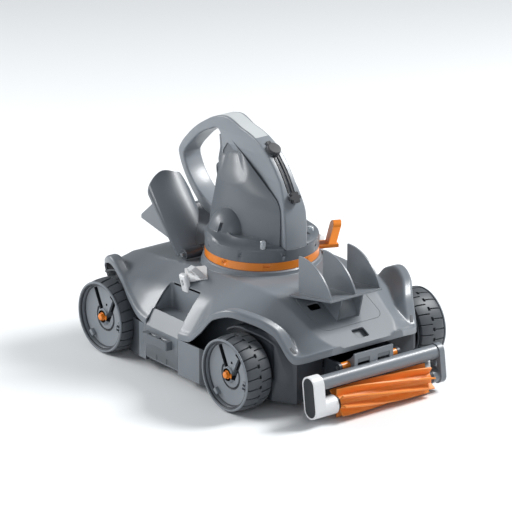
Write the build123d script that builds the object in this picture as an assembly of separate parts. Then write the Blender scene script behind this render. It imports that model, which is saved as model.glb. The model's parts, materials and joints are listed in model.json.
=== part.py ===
from build123d import *
import math
import os

# A cordless pool cleaner: a low wheeled hull, a lift-off power head with a carrying handle,
# a helical brush roller in front and a hinged tail deflector behind.
# Millimetres. +Z is up, the brush faces -Y, the floor is at Z = 0 and X = 0 is the middle.

# ------------------------------------------------------------------ driving sizes
running_fit = 0.05          # radial gap of a turning pin in its hole
soft_gap = 0.3              # gap between pieces that move past each other
wall = 3.0                  # moulded wall of the hull

# wheels
wheel_radius = 55.0
wheel_width = 47.0
wheel_base = 300.0
front_axle_y = -108.0
track_width = 364.0         # over the outer faces of the wheels
tyre_thickness = 7.0
rim_wall = 3.0
web_thickness = 4.0
web_recess = 9.0            # web face behind the rim's edge
axle_radius = 6.0
hub_radius = 11.0
hub_cap_radius = 5.5

# upper shell
hood_nose_y = -205.0
hood_nose_z = 93.4
hood_slope = 0.505          # rise of the hood plane for each mm of length
pod_half_width = 168.0
pod_rim_z = 69.0            # parting line between hull and shell at the pods
fender_gap = 22.0           # front tyre to the arch above it
rear_fender_gap = 22.0
shell_drop = 4.0            # vertical wall of the draped shell
rim_lip = 6.0
fender_crown = 11.0
crest_width = 16.0
flank_slope = 1.2
pod_slope = 1.3

# lower hull
hull_floor_z = 15.0
hull_side_x = 126.0
hull_front_y = -178.0
hull_rear_y = 228.0
well_gap = 7.0              # tyre to the wheel arch liner
liner_wall = 2.5

# head
head_y = 40.0
collar_radius = 86.0
ring_radius = 83.0
ring_thickness = 12.0
collar_top_z = 158.7
base_thickness = 16.7
spigot_radius = 66.0
spigot_length = 50.0
head_cavity_radius = 58.0
lever_angle = -24.0
lever_height = 40.0

# spine and handle
spine_foot_half = 20.5
spine_top_half = 14.0
spine_rear_half = 16.0
handle_top_z = 352.0
sail_wall = 2.6
frame_gap = 0.3

# brush
brush_y = -225.5
brush_z = 23.5
brush_radius = 21.5
brush_core_radius = 9.0
brush_left_x = -72.0
brush_right_x = 92.0
vane_count = 8
vane_twist = 75.0
bar_y = -221.0
bar_z = 58.0
bar_radius = 10.5
carrier_half_width = 119.0
arm_radius = 14.0
left_arm_width = 18.0
right_arm_width = 9.0
pin_y = -206.0
pin_z = 67.0
pin_radius = 3.0
nose_plate_half = 35.0
nose_plate_top_z = 86.0

# side doors
door_front_y = 20.0
door_length = 76.0
door_wall = 3.0
door_top_z = 91.0
door_rod_radius = 1.5
door_gap = 0.5
grip_length = 59.0
grip_height = 13.0
grip_depth = 10.0

# tail
tail_y = 115.0
tail_z = 152.5
tail_tube_radius = 8.0
tail_rod_radius = 3.0
tail_outer_x = 85.0
tail_inner_x = 55.0
petal_wall = 2.5

rear_axle_y = front_axle_y + wheel_base
wheel_outer_x = track_width / 2
wheel_inner_x = wheel_outer_x - wheel_width
wheel_middle_x = wheel_outer_x - wheel_width / 2
axle_z = wheel_radius
well_radius = wheel_radius + well_gap
ring_z = collar_top_z + soft_gap
base_z = ring_z + ring_thickness + soft_gap
base_top_z = base_z + base_thickness
spigot_z = base_z - spigot_length
collar_foot_z = spigot_z + 15
neck_hole_radius = spigot_radius + 4.5


# ------------------------------------------------------------------ helpers
def block(x0, x1, y0, y1, z0, z1):
    """A box between two corners."""
    return Pos((x0 + x1) / 2, (y0 + y1) / 2, (z0 + z1) / 2) * Box(x1 - x0, y1 - y0, z1 - z0)


def rod_x(radius, x0, x1, y, z):
    """A round bar along X."""
    return Pos((x0 + x1) / 2, y, z) * Rot(0, 90, 0) * Cylinder(radius, x1 - x0)


def rod_y(radius, y0, y1, x, z):
    """A round bar along Y."""
    return Pos(x, (y0 + y1) / 2, z) * Rot(90, 0, 0) * Cylinder(radius, y1 - y0)


def rod_z(radius, z0, z1, x, y):
    """A round bar along Z."""
    return Pos(x, y, (z0 + z1) / 2) * Cylinder(radius, z1 - z0)


def side_plate(points, x0, x1):
    """A plate with an outline in the YZ plane, between two X values."""
    outline = make_face(Polyline(*[(0, y, z) for y, z in points], close=True))
    return Pos(x0, 0, 0) * extrude(outline, amount=x1 - x0, dir=(1, 0, 0))


def front_plate(points, y0, y1):
    """A plate with an outline in the XZ plane, between two Y values."""
    outline = make_face(Polyline(*[(x, 0, z) for x, z in points], close=True))
    return Pos(0, y0, 0) * extrude(outline, amount=y1 - y0, dir=(0, 1, 0))


def plan_plate(points, z0, z1):
    """A plate with an outline in the XY plane, between two Z values."""
    outline = make_face(Polyline(*[(x, y, 0) for x, y in points], close=True))
    return Pos(0, 0, z0) * extrude(outline, amount=z1 - z0, dir=(0, 0, 1))


def mirrored(shape):
    """The same shape on the other side of the middle plane."""
    return mirror(shape, about=Plane.YZ)


def group(shapes):
    """Separate solids that share one node."""
    return Compound(children=[solid for shape in shapes for solid in shape.solids()])


def save(name, shape):
    export_step(shape, os.path.join("parts", name + ".step"))


# ------------------------------------------------------------------ upper shell
def hood_z(y):
    return hood_nose_z + hood_slope * (y - hood_nose_y)


front_rise = axle_z + wheel_radius + fender_gap - pod_rim_z
rear_rise = axle_z + wheel_radius + rear_fender_gap - pod_rim_z

# Stations along the shell: y, half width at the rim, height of the rim,
# crease between the flat top and the side slope, height of the flat top, side fall.
stations = [
    (hood_nose_y, 64.0, hood_nose_z - rim_lip - 1, 50.0, hood_nose_z, 0.05),
    (front_axle_y - 72, 110.0, 76.0, 67.0, hood_z(front_axle_y - 72), 0.60),
    (front_axle_y - 42, 127.0, pod_rim_z + 0.71 * front_rise, 72.0, hood_z(front_axle_y - 42), 0.60),
    (front_axle_y - 19, 143.0, pod_rim_z + 0.92 * front_rise, 76.0, hood_z(front_axle_y - 19), 0.60),
    (front_axle_y + 13, 157.0, pod_rim_z + front_rise, 80.0, hood_z(front_axle_y + 7), 0.60),
    (front_axle_y + 48, 164.0, pod_rim_z + 0.82 * front_rise, 85.0, 152.0, 0.60),
    (front_axle_y + 78, 167.0, pod_rim_z + 0.35 * front_rise, 88.0, 152.5, 0.60),
    (front_axle_y + 106, pod_half_width, pod_rim_z + 0.03 * front_rise, 88.0, 152.0, 0.62),
    (door_front_y, pod_half_width, pod_rim_z, 88.0, 151.0, 0.64),
    (door_front_y + door_length, pod_half_width, pod_rim_z, 90.0, 145.0, 0.60),
    (rear_axle_y - 78, pod_half_width - 1, pod_rim_z + 0.05 * rear_rise, 92.0, 143.0, 0.58),
    (rear_axle_y - 48, 163.0, pod_rim_z + 0.33 * rear_rise, 95.0, 141.0, 0.42),
    (rear_axle_y - 24, 160.0, pod_rim_z + 0.70 * rear_rise, 95.0, 139.0, 0.30),
    (rear_axle_y + 4, 159.0, pod_rim_z + rear_rise, 95.0, 137.0, 0.20),
    (rear_axle_y + 28, 151.0, pod_rim_z + 0.85 * rear_rise, 95.0, 132.0, 0.20),
    (rear_axle_y + 45, 134.0, pod_rim_z + 0.42 * rear_rise, 92.0, 122.0, 0.30),
    (rear_axle_y + 53, 124.0, pod_rim_z + 0.18 * rear_rise, 88.0, 94.0, 0.10),
]


def shell_z(x, station):
    """Height of the shell's outer face at |x| on one station."""
    y, half, rim, crease, deck, fall = station
    side = deck - fall * max(0.0, x - crease)
    pod = rim + rim_lip + pod_slope * (half - x)
    fender = rim + fender_crown - flank_slope * max(0.0, half - x - crest_width)
    return max(min(side, pod), fender)


def shell_section(station):
    """A closed C-shaped section: the outer face and the inner face one wall below it."""
    y, half, rim, crease, deck, fall = station
    reach = min(1.0, (half - crease - 2) / 46)
    xs = [half - step * reach for step in (0, 14, 30, 44)] + [crease]
    outer = [(half, rim)] + [(x, shell_z(x, station)) for x in xs]
    inner = [(half - wall, rim), (half - wall, outer[1][1] - shell_drop)]
    inner += [(x, z - shell_drop) for x, z in outer[2:]]
    right = outer + inner[::-1]
    left = [(-x, z) for x, z in outer]
    left_inner = [(-x, z) for x, z in inner]
    loop = left + outer[::-1] + inner + left_inner[::-1]
    return Wire(Polyline(*[(x, y, z) for x, z in loop], close=True))


def deck_height(x, y):
    """Height of the shell's outer face between two stations."""
    for before, after in zip(stations, stations[1:]):
        if before[0] <= y <= after[0]:
            part = (y - before[0]) / (after[0] - before[0])
            return (1 - part) * shell_z(abs(x), before) + part * shell_z(abs(x), after)
    raise ValueError("y is off the shell")


pocket_inner_x = 122.0
pocket_floor_z = 84.0
pocket_wall = 2.5
door_rear_y = door_front_y + door_length
slot_front_y = -134.0
slot_rear_y = -122.0
slot_inner_x = 26.0
slot_outer_x = 46.0
panel_half = 56.0
panel_front_y = -172.0
panel_rear_y = -103.0
panel_wall = 2.0
hood_tilt = math.degrees(math.atan(hood_slope))
lug_wall = 4.0


def hood_prism(half, y0, y1, below, above, corner):
    """A block that follows the hood plane, from below it to above it."""
    middle = (y0 + y1) / 2
    length = (y1 - y0) / math.cos(math.radians(hood_tilt))
    blank = Pos(0, 0, (above - below) / 2) * Box(2 * half, length, below + above)
    blank = fillet(blank.edges().filter_by(Axis.Z), corner)
    return Pos(0, middle, hood_z(middle)) * Rot(hood_tilt, 0, 0) * blank


def hood_slots():
    """The two water slots under the wing, cut straight down."""
    slot = block(slot_inner_x, slot_outer_x, slot_front_y, slot_rear_y, 90, 170)
    slot = fillet(slot.edges().filter_by(Axis.Z), 3)
    return slot + mirrored(slot)


def door_pocket():
    """Finger pocket above a side door: walls, and the space inside them."""
    y0, y1 = door_front_y + 2, door_rear_y - 2
    top = deck_height(pocket_inner_x, door_front_y) + 20
    outer = block(pocket_inner_x - pocket_wall, pod_half_width, y0 - pocket_wall, y1 + pocket_wall,
                  pocket_floor_z, top)
    space = block(pocket_inner_x, pod_half_width + 5, y0, y1, pocket_floor_z + pocket_wall, top + 5)
    return outer, space


def shell_volume(drop):
    """All the space under the shell's outer face, lowered by drop."""
    sections = []
    for station in stations:
        half, crease = station[1], station[3]
        reach = min(1.0, (half - crease - 2) / 46)
        xs = [half - step * reach for step in (0, 14, 30, 44)] + [crease]
        top = [(x, shell_z(x, station) - drop) for x in xs]
        loop = [(-half, 5)] + [(-x, z) for x, z in top] + [(x, z) for x, z in top[::-1]] + [(half, 5)]
        sections.append(Wire(Polyline(*[(x, station[0], z) for x, z in loop], close=True)))
    return Part() + Solid.make_loft(sections, ruled=True)


def tail_lugs():
    """Lugs that carry the tail's hinge rods, one pair on each side."""
    lugs = []
    for x0 in (tail_outer_x + soft_gap, tail_inner_x - soft_gap - lug_wall):
        foot = deck_height(x0, tail_y) - shell_drop
        lug = block(x0, x0 + lug_wall, tail_y - 7, tail_y + 7, foot, tail_z)
        lug = lug + rod_x(7, x0, x0 + lug_wall, tail_y, tail_z)
        lug = lug - rod_x(tail_rod_radius, x0 - 1, x0 + lug_wall + 1, tail_y, tail_z)
        lugs += [lug, mirrored(lug)]
    return lugs


def make_upper_shell():
    shell = Part() + Solid.make_loft([shell_section(s) for s in stations], ruled=True)
    walls, space = door_pocket()
    pocket = (walls - space) & shell_volume(1.0)
    collar = rod_z(collar_radius, collar_foot_z, collar_top_z, 0, head_y)
    shell = shell + [pocket, mirrored(pocket), collar]
    door_room = block(pod_half_width - 22, pod_half_width + 5, door_front_y - door_gap,
                      door_rear_y + door_gap, pod_rim_z - 5, door_top_z + door_gap)
    neck_hole = rod_z(neck_hole_radius, spigot_z, collar_top_z + 5, 0, head_y)
    seat = hood_prism(panel_half, panel_front_y, panel_rear_y, panel_wall, 30, 14)
    notch = plan_plate([(-14, hood_nose_y - 2), (14, hood_nose_y - 2), (6, hood_nose_y + 9)], 80, 110)
    shell = shell - [space, mirrored(space), door_room, mirrored(door_room), neck_hole, seat, notch]
    return (shell - hood_slots()) + tail_lugs()


def make_hood_panel():
    panel = hood_prism(panel_half - 0.4, panel_front_y + 0.4, panel_rear_y - 0.4, panel_wall, 0, 13.6)
    return panel - hood_slots()


# ------------------------------------------------------------------ fin wing
wing_front_y = -180.0
wing_rear_y = -104.0
wing_front_z = 157.0
wing_wall = 3.0
wing_front_half = 46.0
wing_rear_half = 60.0
fin_wall = 2.6
fin_spacing = 44.0
fin_top_z = 203.0
cheek_x = 20.0


def make_fin_wing():
    rear_z = hood_z(wing_rear_y) + 0.05
    front_low = wing_front_z - wing_wall
    side = side_plate([(wing_front_y, front_low), (wing_rear_y, rear_z), (wing_rear_y + 3, rear_z + 1.6),
                       (wing_rear_y + 3, rear_z + wing_wall), (wing_front_y, wing_front_z)],
                      -wing_rear_half, wing_rear_half)
    plan = plan_plate([(-wing_front_half, wing_front_y - 1), (wing_front_half, wing_front_y - 1),
                       (wing_rear_half, wing_rear_y + 5), (-wing_rear_half, wing_rear_y + 5)], 100, 200)
    wing = side & plan
    slope = (rear_z - front_low) / (wing_rear_y - wing_front_y)

    def under(y):
        return front_low + slope * (y - wing_front_y)

    # cheeks and the ramp that carry the wing on the hood panel
    foot_y, ramp_y, back_y = -161.0, -141.0, panel_rear_y - 3
    cheek = [(foot_y, hood_z(foot_y)), (-171, under(-171)), (back_y, under(back_y)), (back_y, hood_z(back_y))]
    ramp = [(foot_y + 2, hood_z(foot_y + 2)), (ramp_y, under(ramp_y)), (back_y, under(back_y)),
            (back_y, hood_z(back_y))]
    wing = wing + side_plate(ramp, -cheek_x, cheek_x)
    for x in (-cheek_x, cheek_x - fin_wall):
        wing = wing + side_plate(cheek, x, x + fin_wall)
    # three upright fins with a curved front edge
    rear_edge = wing_rear_y
    profile = Line((0, wing_front_y + 1, wing_front_z - 1), (0, rear_edge, rear_z + 1))
    profile += Line((0, rear_edge, rear_z + 1), (0, rear_edge, fin_top_z))
    profile += ThreePointArc((0, rear_edge, fin_top_z), (0, -152, 190), (0, wing_front_y + 1, wing_front_z - 1))
    fin = extrude(make_face(profile), amount=fin_wall, dir=(1, 0, 0))
    for step in (-1, 0, 1):
        wing = wing + Pos(step * fin_spacing - fin_wall / 2, 0, 0) * fin
    return wing


# ------------------------------------------------------------------ lower hull
door_rod_x = pod_half_width - 3.7
door_rod_z = hull_floor_z + 6.7
knuckle_radius = 3.2
ear_inner_x = 50.0
ear_wall = 5.0
ear_radius = 6.0
mouth_half = 60.0
inlet_half_gap = 16.0
inlet_width = 60.0
inlet_front_y = -134.0
inlet_length = 20.0
basket_z = 40.0
liner_outer_x = 148.0


def hull_plan(inset):
    x = hull_side_x - inset
    return [(-x + 20, hull_front_y + inset), (x - 20, hull_front_y + inset), (x, hull_front_y + 32 + inset),
            (x, hull_rear_y - inset), (-x, hull_rear_y - inset), (-x, hull_front_y + 32 + inset)]


def make_lower_hull():
    tub = plan_plate(hull_plan(0), hull_floor_z, 118)
    pods = block(-pod_half_width, pod_half_width, front_axle_y + 40, rear_axle_y - 40, hull_floor_z, pod_rim_z)
    liners = []
    for axle_y in (front_axle_y, rear_axle_y):
        liner = rod_x(well_radius + liner_wall, hull_side_x - 24, liner_outer_x, axle_y, axle_z)
        liner = liner & block(0, 200, axle_y - 80, axle_y + 38, axle_z - 8, 140)
        liners += [liner, mirrored(liner)]
    hull = (tub + [pods] + liners) & shell_volume(shell_drop + soft_gap)
    hull = hull & block(-200, 200, hull_front_y, rear_axle_y + well_radius + liner_wall, 0, 130)
    # inside of the tub and of the pods
    cavity = plan_plate(hull_plan(wall), hull_floor_z + wall, 140)
    pod_cavity = block(hull_side_x, pod_half_width - wall, front_axle_y + well_radius + wall,
                       rear_axle_y - well_radius - wall, hull_floor_z + wall, 140)
    hull = hull - [cavity, pod_cavity, mirrored(pod_cavity)]
    # wheel arches
    for axle_y in (front_axle_y, rear_axle_y):
        for side in (-1, 1):
            x0, x1 = sorted((side * (hull_side_x + 0.01), side * 200))
            hull = hull - rod_x(well_radius, x0, x1, axle_y, axle_z)
            boss = rod_x(axle_radius + 6, *sorted((side * (hull_side_x - 22), side * (wheel_inner_x - 1))),
                         axle_y, axle_z)
            hull = hull + boss
            hull = hull - rod_x(axle_radius, *sorted((side * (hull_side_x - 20), side * 140)), axle_y, axle_z)
    # door bays: an inner wall, two cheeks and the holes of the hinge rod
    bay_x = door_rod_x - knuckle_radius - soft_gap
    for flip in (False, True):
        bay = block(bay_x - wall, pod_half_width, door_front_y - door_gap - wall, door_rear_y + door_gap + wall,
                    hull_floor_z, pod_rim_z)
        room = block(bay_x, pod_half_width + 5, door_front_y - door_gap, door_rear_y + door_gap,
                     hull_floor_z - 1, pod_rim_z + 5)
        rod = rod_y(door_rod_radius, door_front_y - door_gap - wall, door_rear_y + door_gap + wall,
                    door_rod_x, door_rod_z)
        if flip:
            bay, room, rod = mirrored(bay), mirrored(room), mirrored(rod)
        hull = hull + bay - room - rod
        pocket_room = block(pocket_inner_x - pocket_wall - soft_gap, 200, door_front_y + 2 - pocket_wall - soft_gap,
                            door_rear_y - 2 + pocket_wall + soft_gap, pocket_floor_z - soft_gap, 140)
        hull = hull - (mirrored(pocket_room) if flip else pocket_room)
    # front mouth with the ears that hold the carrier's pins
    mouth = front_plate([(-mouth_half, 30), (mouth_half, 30), (mouth_half, 68), (mouth_half - 16, 130),
                         (16 - mouth_half, 130), (-mouth_half, 68)], hull_front_y - 5, hull_front_y + wall + 0.5)
    hull = hull - mouth
    for side in (-1, 1):
        x0, x1 = sorted((side * ear_inner_x, side * (ear_inner_x + ear_wall)))
        ear = side_plate([(hull_front_y + 14, 30), (hull_front_y + 14, 76), (pin_y, pin_z + ear_radius),
                          (pin_y, pin_z - ear_radius), (hull_front_y - 4, 44)], x0, x1)
        ear = ear + rod_x(ear_radius, x0, x1, pin_y, pin_z)
        foot = block(*sorted((side * ear_inner_x, side * (mouth_half + 4))), hull_front_y + 0.5,
                     hull_front_y + 14, 30, 60)
        hull = hull + ear + foot
        hull = hull - rod_x(pin_radius, x0 - 1, x1 + 1, pin_y, pin_z)
    # belly inlets
    for side in (-1, 1):
        x0, x1 = sorted((side * inlet_half_gap, side * (inlet_half_gap + inlet_width)))
        hull = hull - block(x0, x1, inlet_front_y, inlet_front_y + inlet_length, hull_floor_z - 1,
                            hull_floor_z + wall + 1)
        lug_y = inlet_front_y + inlet_length + 6
        for x in (x0 - 4.3, x1 + 0.3):
            hull = hull + block(x, x + 4, lug_y - 3, lug_y + 3, hull_floor_z + wall, hull_floor_z + wall + 6)
    # posts under the filter basket
    for x in (-70, 70):
        for y in (-45, 150):
            hull = hull + rod_z(5, hull_floor_z + wall, basket_z, x, y)
    # counterbores of the belly screws
    for x, y in screw_places():
        hull = hull + rod_z(5.5, hull_floor_z, hull_floor_z + 16, x, y)
        hull = hull - rod_z(3.5, hull_floor_z - 1, hull_floor_z + 2.5, x, y)
        hull = hull - rod_z(1.8, hull_floor_z, hull_floor_z + 12, x, y)
    # moulded stiffening ribs and the rear outlet
    hull = hull - block(-60, 60, hull_rear_y - wall - 1, hull_rear_y + 1, 40, 70)
    return hull


def screw_places():
    return [(x, y) for x in (-105, 105) for y in (-60, 30, 120, 210)]


def make_hull_screws():
    screws = []
    for x, y in screw_places():
        screw = rod_z(3.5, hull_floor_z + 0.5, hull_floor_z + 2.5, x, y)
        screw = screw + rod_z(1.8, hull_floor_z + 2.5, hull_floor_z + 12, x, y)
        screws.append(screw - block(x - 2.5, x + 2.5, y - 0.5, y + 0.5, hull_floor_z, hull_floor_z + 1.3))
    return group(screws)


# ------------------------------------------------------------------ inside the hull
def make_filter_basket():
    outer = block(-88, 88, -60, 165, basket_z, basket_z + 46)
    basket = outer - block(-85.5, 85.5, -57.5, 162.5, basket_z + 2.5, basket_z + 60)
    for x in (-64, -32, 0, 32, 64):
        basket = basket - block(x - 12, x + 12, -70, 175, basket_z + 8, basket_z + 38)
    for y in (-32, 5, 42, 79, 116, 145):
        basket = basket - block(-95, 95, y - 11, y + 11, basket_z + 8, basket_z + 38)
    return basket


def make_inlet_flap(side):
    x0, x1 = sorted((side * inlet_half_gap, side * (inlet_half_gap + inlet_width)))
    floor = hull_floor_z + wall
    hinge_y = inlet_front_y + inlet_length + 6
    flap = block(x0, x1, inlet_front_y - 4, hinge_y, floor + soft_gap, floor + 2)
    flap = flap + rod_x(1.8, x0, x1, hinge_y, floor + 2.2)
    return flap


def make_wheel_axles():
    axles = []
    for axle_y in (front_axle_y, rear_axle_y):
        for side in (-1, 1):
            axle = rod_x(axle_radius, *sorted((side * (hull_side_x - 19), side * (wheel_outer_x - web_recess))),
                         axle_y, axle_z)
            axles.append(axle)
    return group(axles)


# ------------------------------------------------------------------ wheels
def lathe_x(points, x0, y, z):
    """Turns an outline of (distance along X, radius) points about an axis along X."""
    outline = make_face(Polyline(*[(x0 + along, y, z + radius) for along, radius in points], close=True))
    return revolve(outline, axis=Axis((0, y, z), (1, 0, 0)))


def tyre(axle_y):
    half = wheel_width / 2
    inner = wheel_radius - tyre_thickness
    crown = [(-half + 1, inner), (-half + 1, wheel_radius - 4), (-half + 4, wheel_radius - 1), (-half + 10, wheel_radius),
             (half - 10, wheel_radius), (half - 4, wheel_radius - 1), (half - 1, wheel_radius - 4), (half - 1, inner)]
    return lathe_x(crown, wheel_middle_x, axle_y, axle_z)


def wheel_disc(axle_y):
    half = wheel_width / 2
    rim_outer = wheel_radius - tyre_thickness
    disc = lathe_x([(-half, rim_outer - rim_wall), (-half, rim_outer + 2), (-half + 1, rim_outer + 2),
                    (-half + 1, rim_outer), (half - 1, rim_outer), (half - 1, rim_outer + 3),
                    (half, rim_outer + 3), (half, rim_outer - rim_wall)], wheel_middle_x, axle_y, axle_z)
    web_x = wheel_outer_x - web_recess
    disc = disc + rod_x(rim_outer - 1, web_x - web_thickness, web_x, axle_y, axle_z)
    disc = disc + rod_x(hub_radius, wheel_inner_x + 1.5, web_x + 1.5, axle_y, axle_z)
    # two slots that meet below the hub's middle like a V
    for lean in (-24, 24):
        slot = Pos(web_x, axle_y, axle_z) * Rot(lean, 0, 0) * Pos(0, 0, 27) * Box(30, 5, 26)
        disc = disc - (slot & block(web_x - web_thickness - 1, web_x + 1, axle_y - 60, axle_y + 60, 0, 200))
    # ring groove round the hub
    groove = rod_x(19, web_x - 1.5, web_x + 1, axle_y, axle_z) - rod_x(16, web_x - 2, web_x + 2, axle_y, axle_z)
    disc = disc - groove
    # clip tabs at the rim
    for turn in (-60, 60, 180):
        tab = Pos(web_x + 3, axle_y, axle_z) * Rot(turn, 0, 0) * Pos(0, 0, rim_outer - 6) * Box(6, 9, 9)
        disc = disc + tab
    bore = axle_radius + running_fit
    return disc - rod_x(bore, wheel_inner_x, wheel_outer_x, axle_y, axle_z)


def hub_cap(axle_y):
    x0 = wheel_outer_x - web_recess + soft_gap
    hexagon = Pos(x0, axle_y, axle_z) * Rot(0, 90, 0) * extrude(RegularPolygon(hub_cap_radius, 6), amount=4.5)
    skirt = rod_x(hub_radius - 1, wheel_outer_x - web_recess + 1.5, wheel_outer_x - web_recess + 2.5, axle_y, axle_z)
    return hexagon + skirt


# ------------------------------------------------------------------ side doors
def make_side_door():
    slope_top_x = pod_half_width - 15.0
    outline = [(pod_half_width, door_rod_z), (pod_half_width, pod_rim_z), (slope_top_x, door_top_z),
               (slope_top_x - 2.4, door_top_z - 1.8), (pod_half_width - door_wall, pod_rim_z - 1.2),
               (pod_half_width - door_wall, door_rod_z)]
    door = front_plate(outline, door_front_y, door_rear_y)
    door = door + rod_y(knuckle_radius, door_front_y, door_rear_y, door_rod_x, door_rod_z)
    for y in (door_front_y + 26, door_front_y + 50):
        door = door - block(pod_half_width - 0.8, pod_half_width + 1, y - 1, y + 1, 10, 30)
    return door - rod_y(door_rod_radius + running_fit, door_front_y - 1, door_rear_y + 1, door_rod_x, door_rod_z)


def make_door_grip():
    y0 = door_front_y + 14
    y1 = y0 + grip_length
    z1 = 61.0
    grip = block(pod_half_width, pod_half_width + grip_depth, y0, y1, z1 - grip_height, z1)
    grip = fillet(grip.edges().filter_by(Axis.Z).group_by(Axis.X)[-1], 2.5)
    for y in (y0 + 16, y0 + 40):
        grip = grip - block(pod_half_width + 2.5, pod_half_width + 7, y - 7, y + 7, z1 - 4, z1 + 1)
    return grip - block(pod_half_width + 2.5, pod_half_width + grip_depth - 3, y0 + 3, y1 - 3, z1 - grip_height - 1,
                        z1 - 8)


def make_door_rods():
    rod = rod_y(door_rod_radius, door_front_y - door_gap - wall, door_rear_y + door_gap + wall,
                door_rod_x, door_rod_z)
    return [rod, mirrored(rod)]


# ------------------------------------------------------------------ deck cleats
cleat_x = 101.0
cleat_y = 62.0


def make_cleat():
    foot_z = deck_height(cleat_x, cleat_y)
    tilt = math.degrees(math.atan(0.62))
    plate = extrude(make_face(Polyline((-15, 0, 0), (0, -21, 0), (15, 0, 0), (0, 21, 0), close=True)), amount=3)
    hook = Pos(-2, 0, 0) * extrude(make_face(Polyline((0, -13, 2), (0, 9, 2), (0, 3, 12), (0, -3, 20), (0, -11, 20),
                                                      (0, -15, 12), close=True)), amount=6, dir=(1, 0, 0))
    hook = hook - rod_x(4, -10, 10, -6, 11)
    place = Pos(cleat_x, cleat_y, foot_z - 0.5) * Rot(0, tilt, 0)
    seated = place * (plate + hook) - shell_volume(0)
    return max(seated.solids(), key=lambda solid: solid.volume)


# ------------------------------------------------------------------ lock ring
def make_lock_ring():
    ring = rod_z(ring_radius, ring_z, ring_z + ring_thickness, 0, head_y)
    ring = ring - rod_z(spigot_radius + soft_gap, ring_z - 1, ring_z + ring_thickness + 1, 0, head_y)
    for turn in range(0, 360, 45):
        slot = Pos(0, head_y, ring_z + 7) * Rot(0, 0, turn + 12) * Pos(ring_radius, 0, 0) * Box(3, 9, 3)
        ring = ring - slot
    tab = block(ring_radius - 6, ring_radius + 29, -11, 11, ring_z + 2, ring_z + 7)
    handle = block(ring_radius + 14, ring_radius + 26, -9, 9, ring_z + 2, ring_z + lever_height - 8)
    handle = handle + rod_x(9, ring_radius + 14, ring_radius + 26, 0, ring_z + lever_height - 9)
    lever = Pos(0, head_y, 0) * Rot(0, 0, lever_angle) * (tab + handle)
    return ring + lever


# ------------------------------------------------------------------ power head
spine_foot_y = -41.5
outer_profile = [(124, base_top_z), (142, 190), (162, 197), (182, 212), (204, 236), (219, 262), (221, 272), (217, 281), (199, 301), (180, 318),
                 (157, 333), (134, 345), (118, 350), (104, handle_top_z), (90, 349), (76, 344), (50, 338), (27, 329), (12, 319),
                 (-2, 306), (-13, 293), (-22, 280), (-32, 261), (-38, 243), (-41, 215),
                 (spine_foot_y, base_top_z)]
hand_hole = [(126, 206), (144, 209), (166, 219), (186, 234), (202, 256), (206, 270), (202, 277), (188, 292), (164, 312), (144, 322),
             (126, 328), (119, 322), (118, 236)]
bay = [(-20, base_top_z), (-20, 238), (-4, 256), (16, 270), (50, 289), (84, 307), (104, 315), (104, base_top_z)]


def head_face(shape_points):
    return side_plate(shape_points, -60, 60)


def front_taper(extra):
    """Front outline of the spine: broad at the foot, narrow at the handle."""
    foot, top = spine_foot_half + extra, spine_top_half + extra
    half_widths = [(foot, 150), (foot, 240), (top, 282), (top, 320), (spine_rear_half + extra, 340), (spine_rear_half + extra, 380)]
    return front_plate(half_widths + [(-half, z) for half, z in half_widths[::-1]], -80, 260)


def make_handle_frame():
    frame = head_face(outer_profile) - head_face(hand_hole)
    frame = frame & front_taper(0)
    rear = block(-spine_rear_half, spine_rear_half, 108, 260, 150, 380)
    frame = (frame & block(-60, 60, -80, 108, 150, 380)) + (frame & rear)
    frame = frame - (head_face(bay) & block(-60, 60, -80, 200, 150, 380))
    # seats in the spine for the charge socket, the strap and its anchor
    frame = frame - socket_space(0.0)
    insert_room = insert_blank()
    frame = frame - insert_room - strap_channel()
    return frame - on_spine(anchor_y, anchor_z, anchor_lean) * anchor_stem()


cap_y, cap_z = 14.0, 320.7
cap_lean = 33.0             # the spine's top leans this much forward of straight up
anchor_y, anchor_z = -32.6, 261.0
anchor_lean = 65.0


def on_spine(y, z, lean):
    """A place on the spine's outer face: local Z points out of it, local Y runs up the spine."""
    return Pos(0, y, z) * Rot(lean, 0, 0)


def socket_space(extra):
    return on_spine(cap_y, cap_z, cap_lean) * Pos(0, 0, -6.5) * Cylinder(7 + extra, 15)


def insert_blank():
    """The pad let into the top of the handle."""
    band = head_face([(52, 360), (52, 335.5), (76, 341), (90, 346), (104, 349), (118, 347), (131, 343), (138, 360)])
    return band & block(-11.5, 11.5, 52, 150, 300, handle_top_z + 1)


def strap_channel():
    """A shallow channel between the cap and its anchor."""
    open_side = [(2, 325), (-10, 312), (-24, 296), (-38, 266)]
    floor = [strap_place(along, strap_depth + soft_gap) for along in range(len(strap_line))]
    return head_face(open_side + floor[::-1]) & block(-7, 7, -60, 60, 200, 340)


strap_line = [(7, 314.5), (-2, 306), (-13, 293), (-22, 280), (-28, 268.6)]
strap_depth = 2.2


def strap_place(index, depth):
    """A place on the strap's line, moved into the spine by a depth."""
    before, after = strap_line[max(index - 1, 0)], strap_line[min(index + 1, len(strap_line) - 1)]
    run = (after[0] - before[0], after[1] - before[1])
    length = math.hypot(*run)
    y, z = strap_line[index]
    return (y - run[1] / length * depth, z + run[0] / length * depth)


def make_handle_insert():
    whole = head_face(outer_profile) & insert_blank()
    return whole


def make_cap_strap():
    front = [strap_place(along, 0.2) for along in range(len(strap_line))]
    back = [strap_place(along, strap_depth) for along in range(len(strap_line))]
    strips = head_face(front + back[::-1])
    strap = strips & (block(-5, -2, -60, 60, 200, 340) + block(2, 5, -60, 60, 200, 340))
    return group([strap])


def make_strap_anchor():
    knob = Cylinder(6, 7)
    for turn in range(0, 360, 60):
        knob = knob + Rot(0, 0, turn) * Pos(6, 0, 0) * Cylinder(3, 7)
    return on_spine(anchor_y, anchor_z, anchor_lean) * (Pos(0, 0, 4.5) * knob + anchor_stem())


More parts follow.
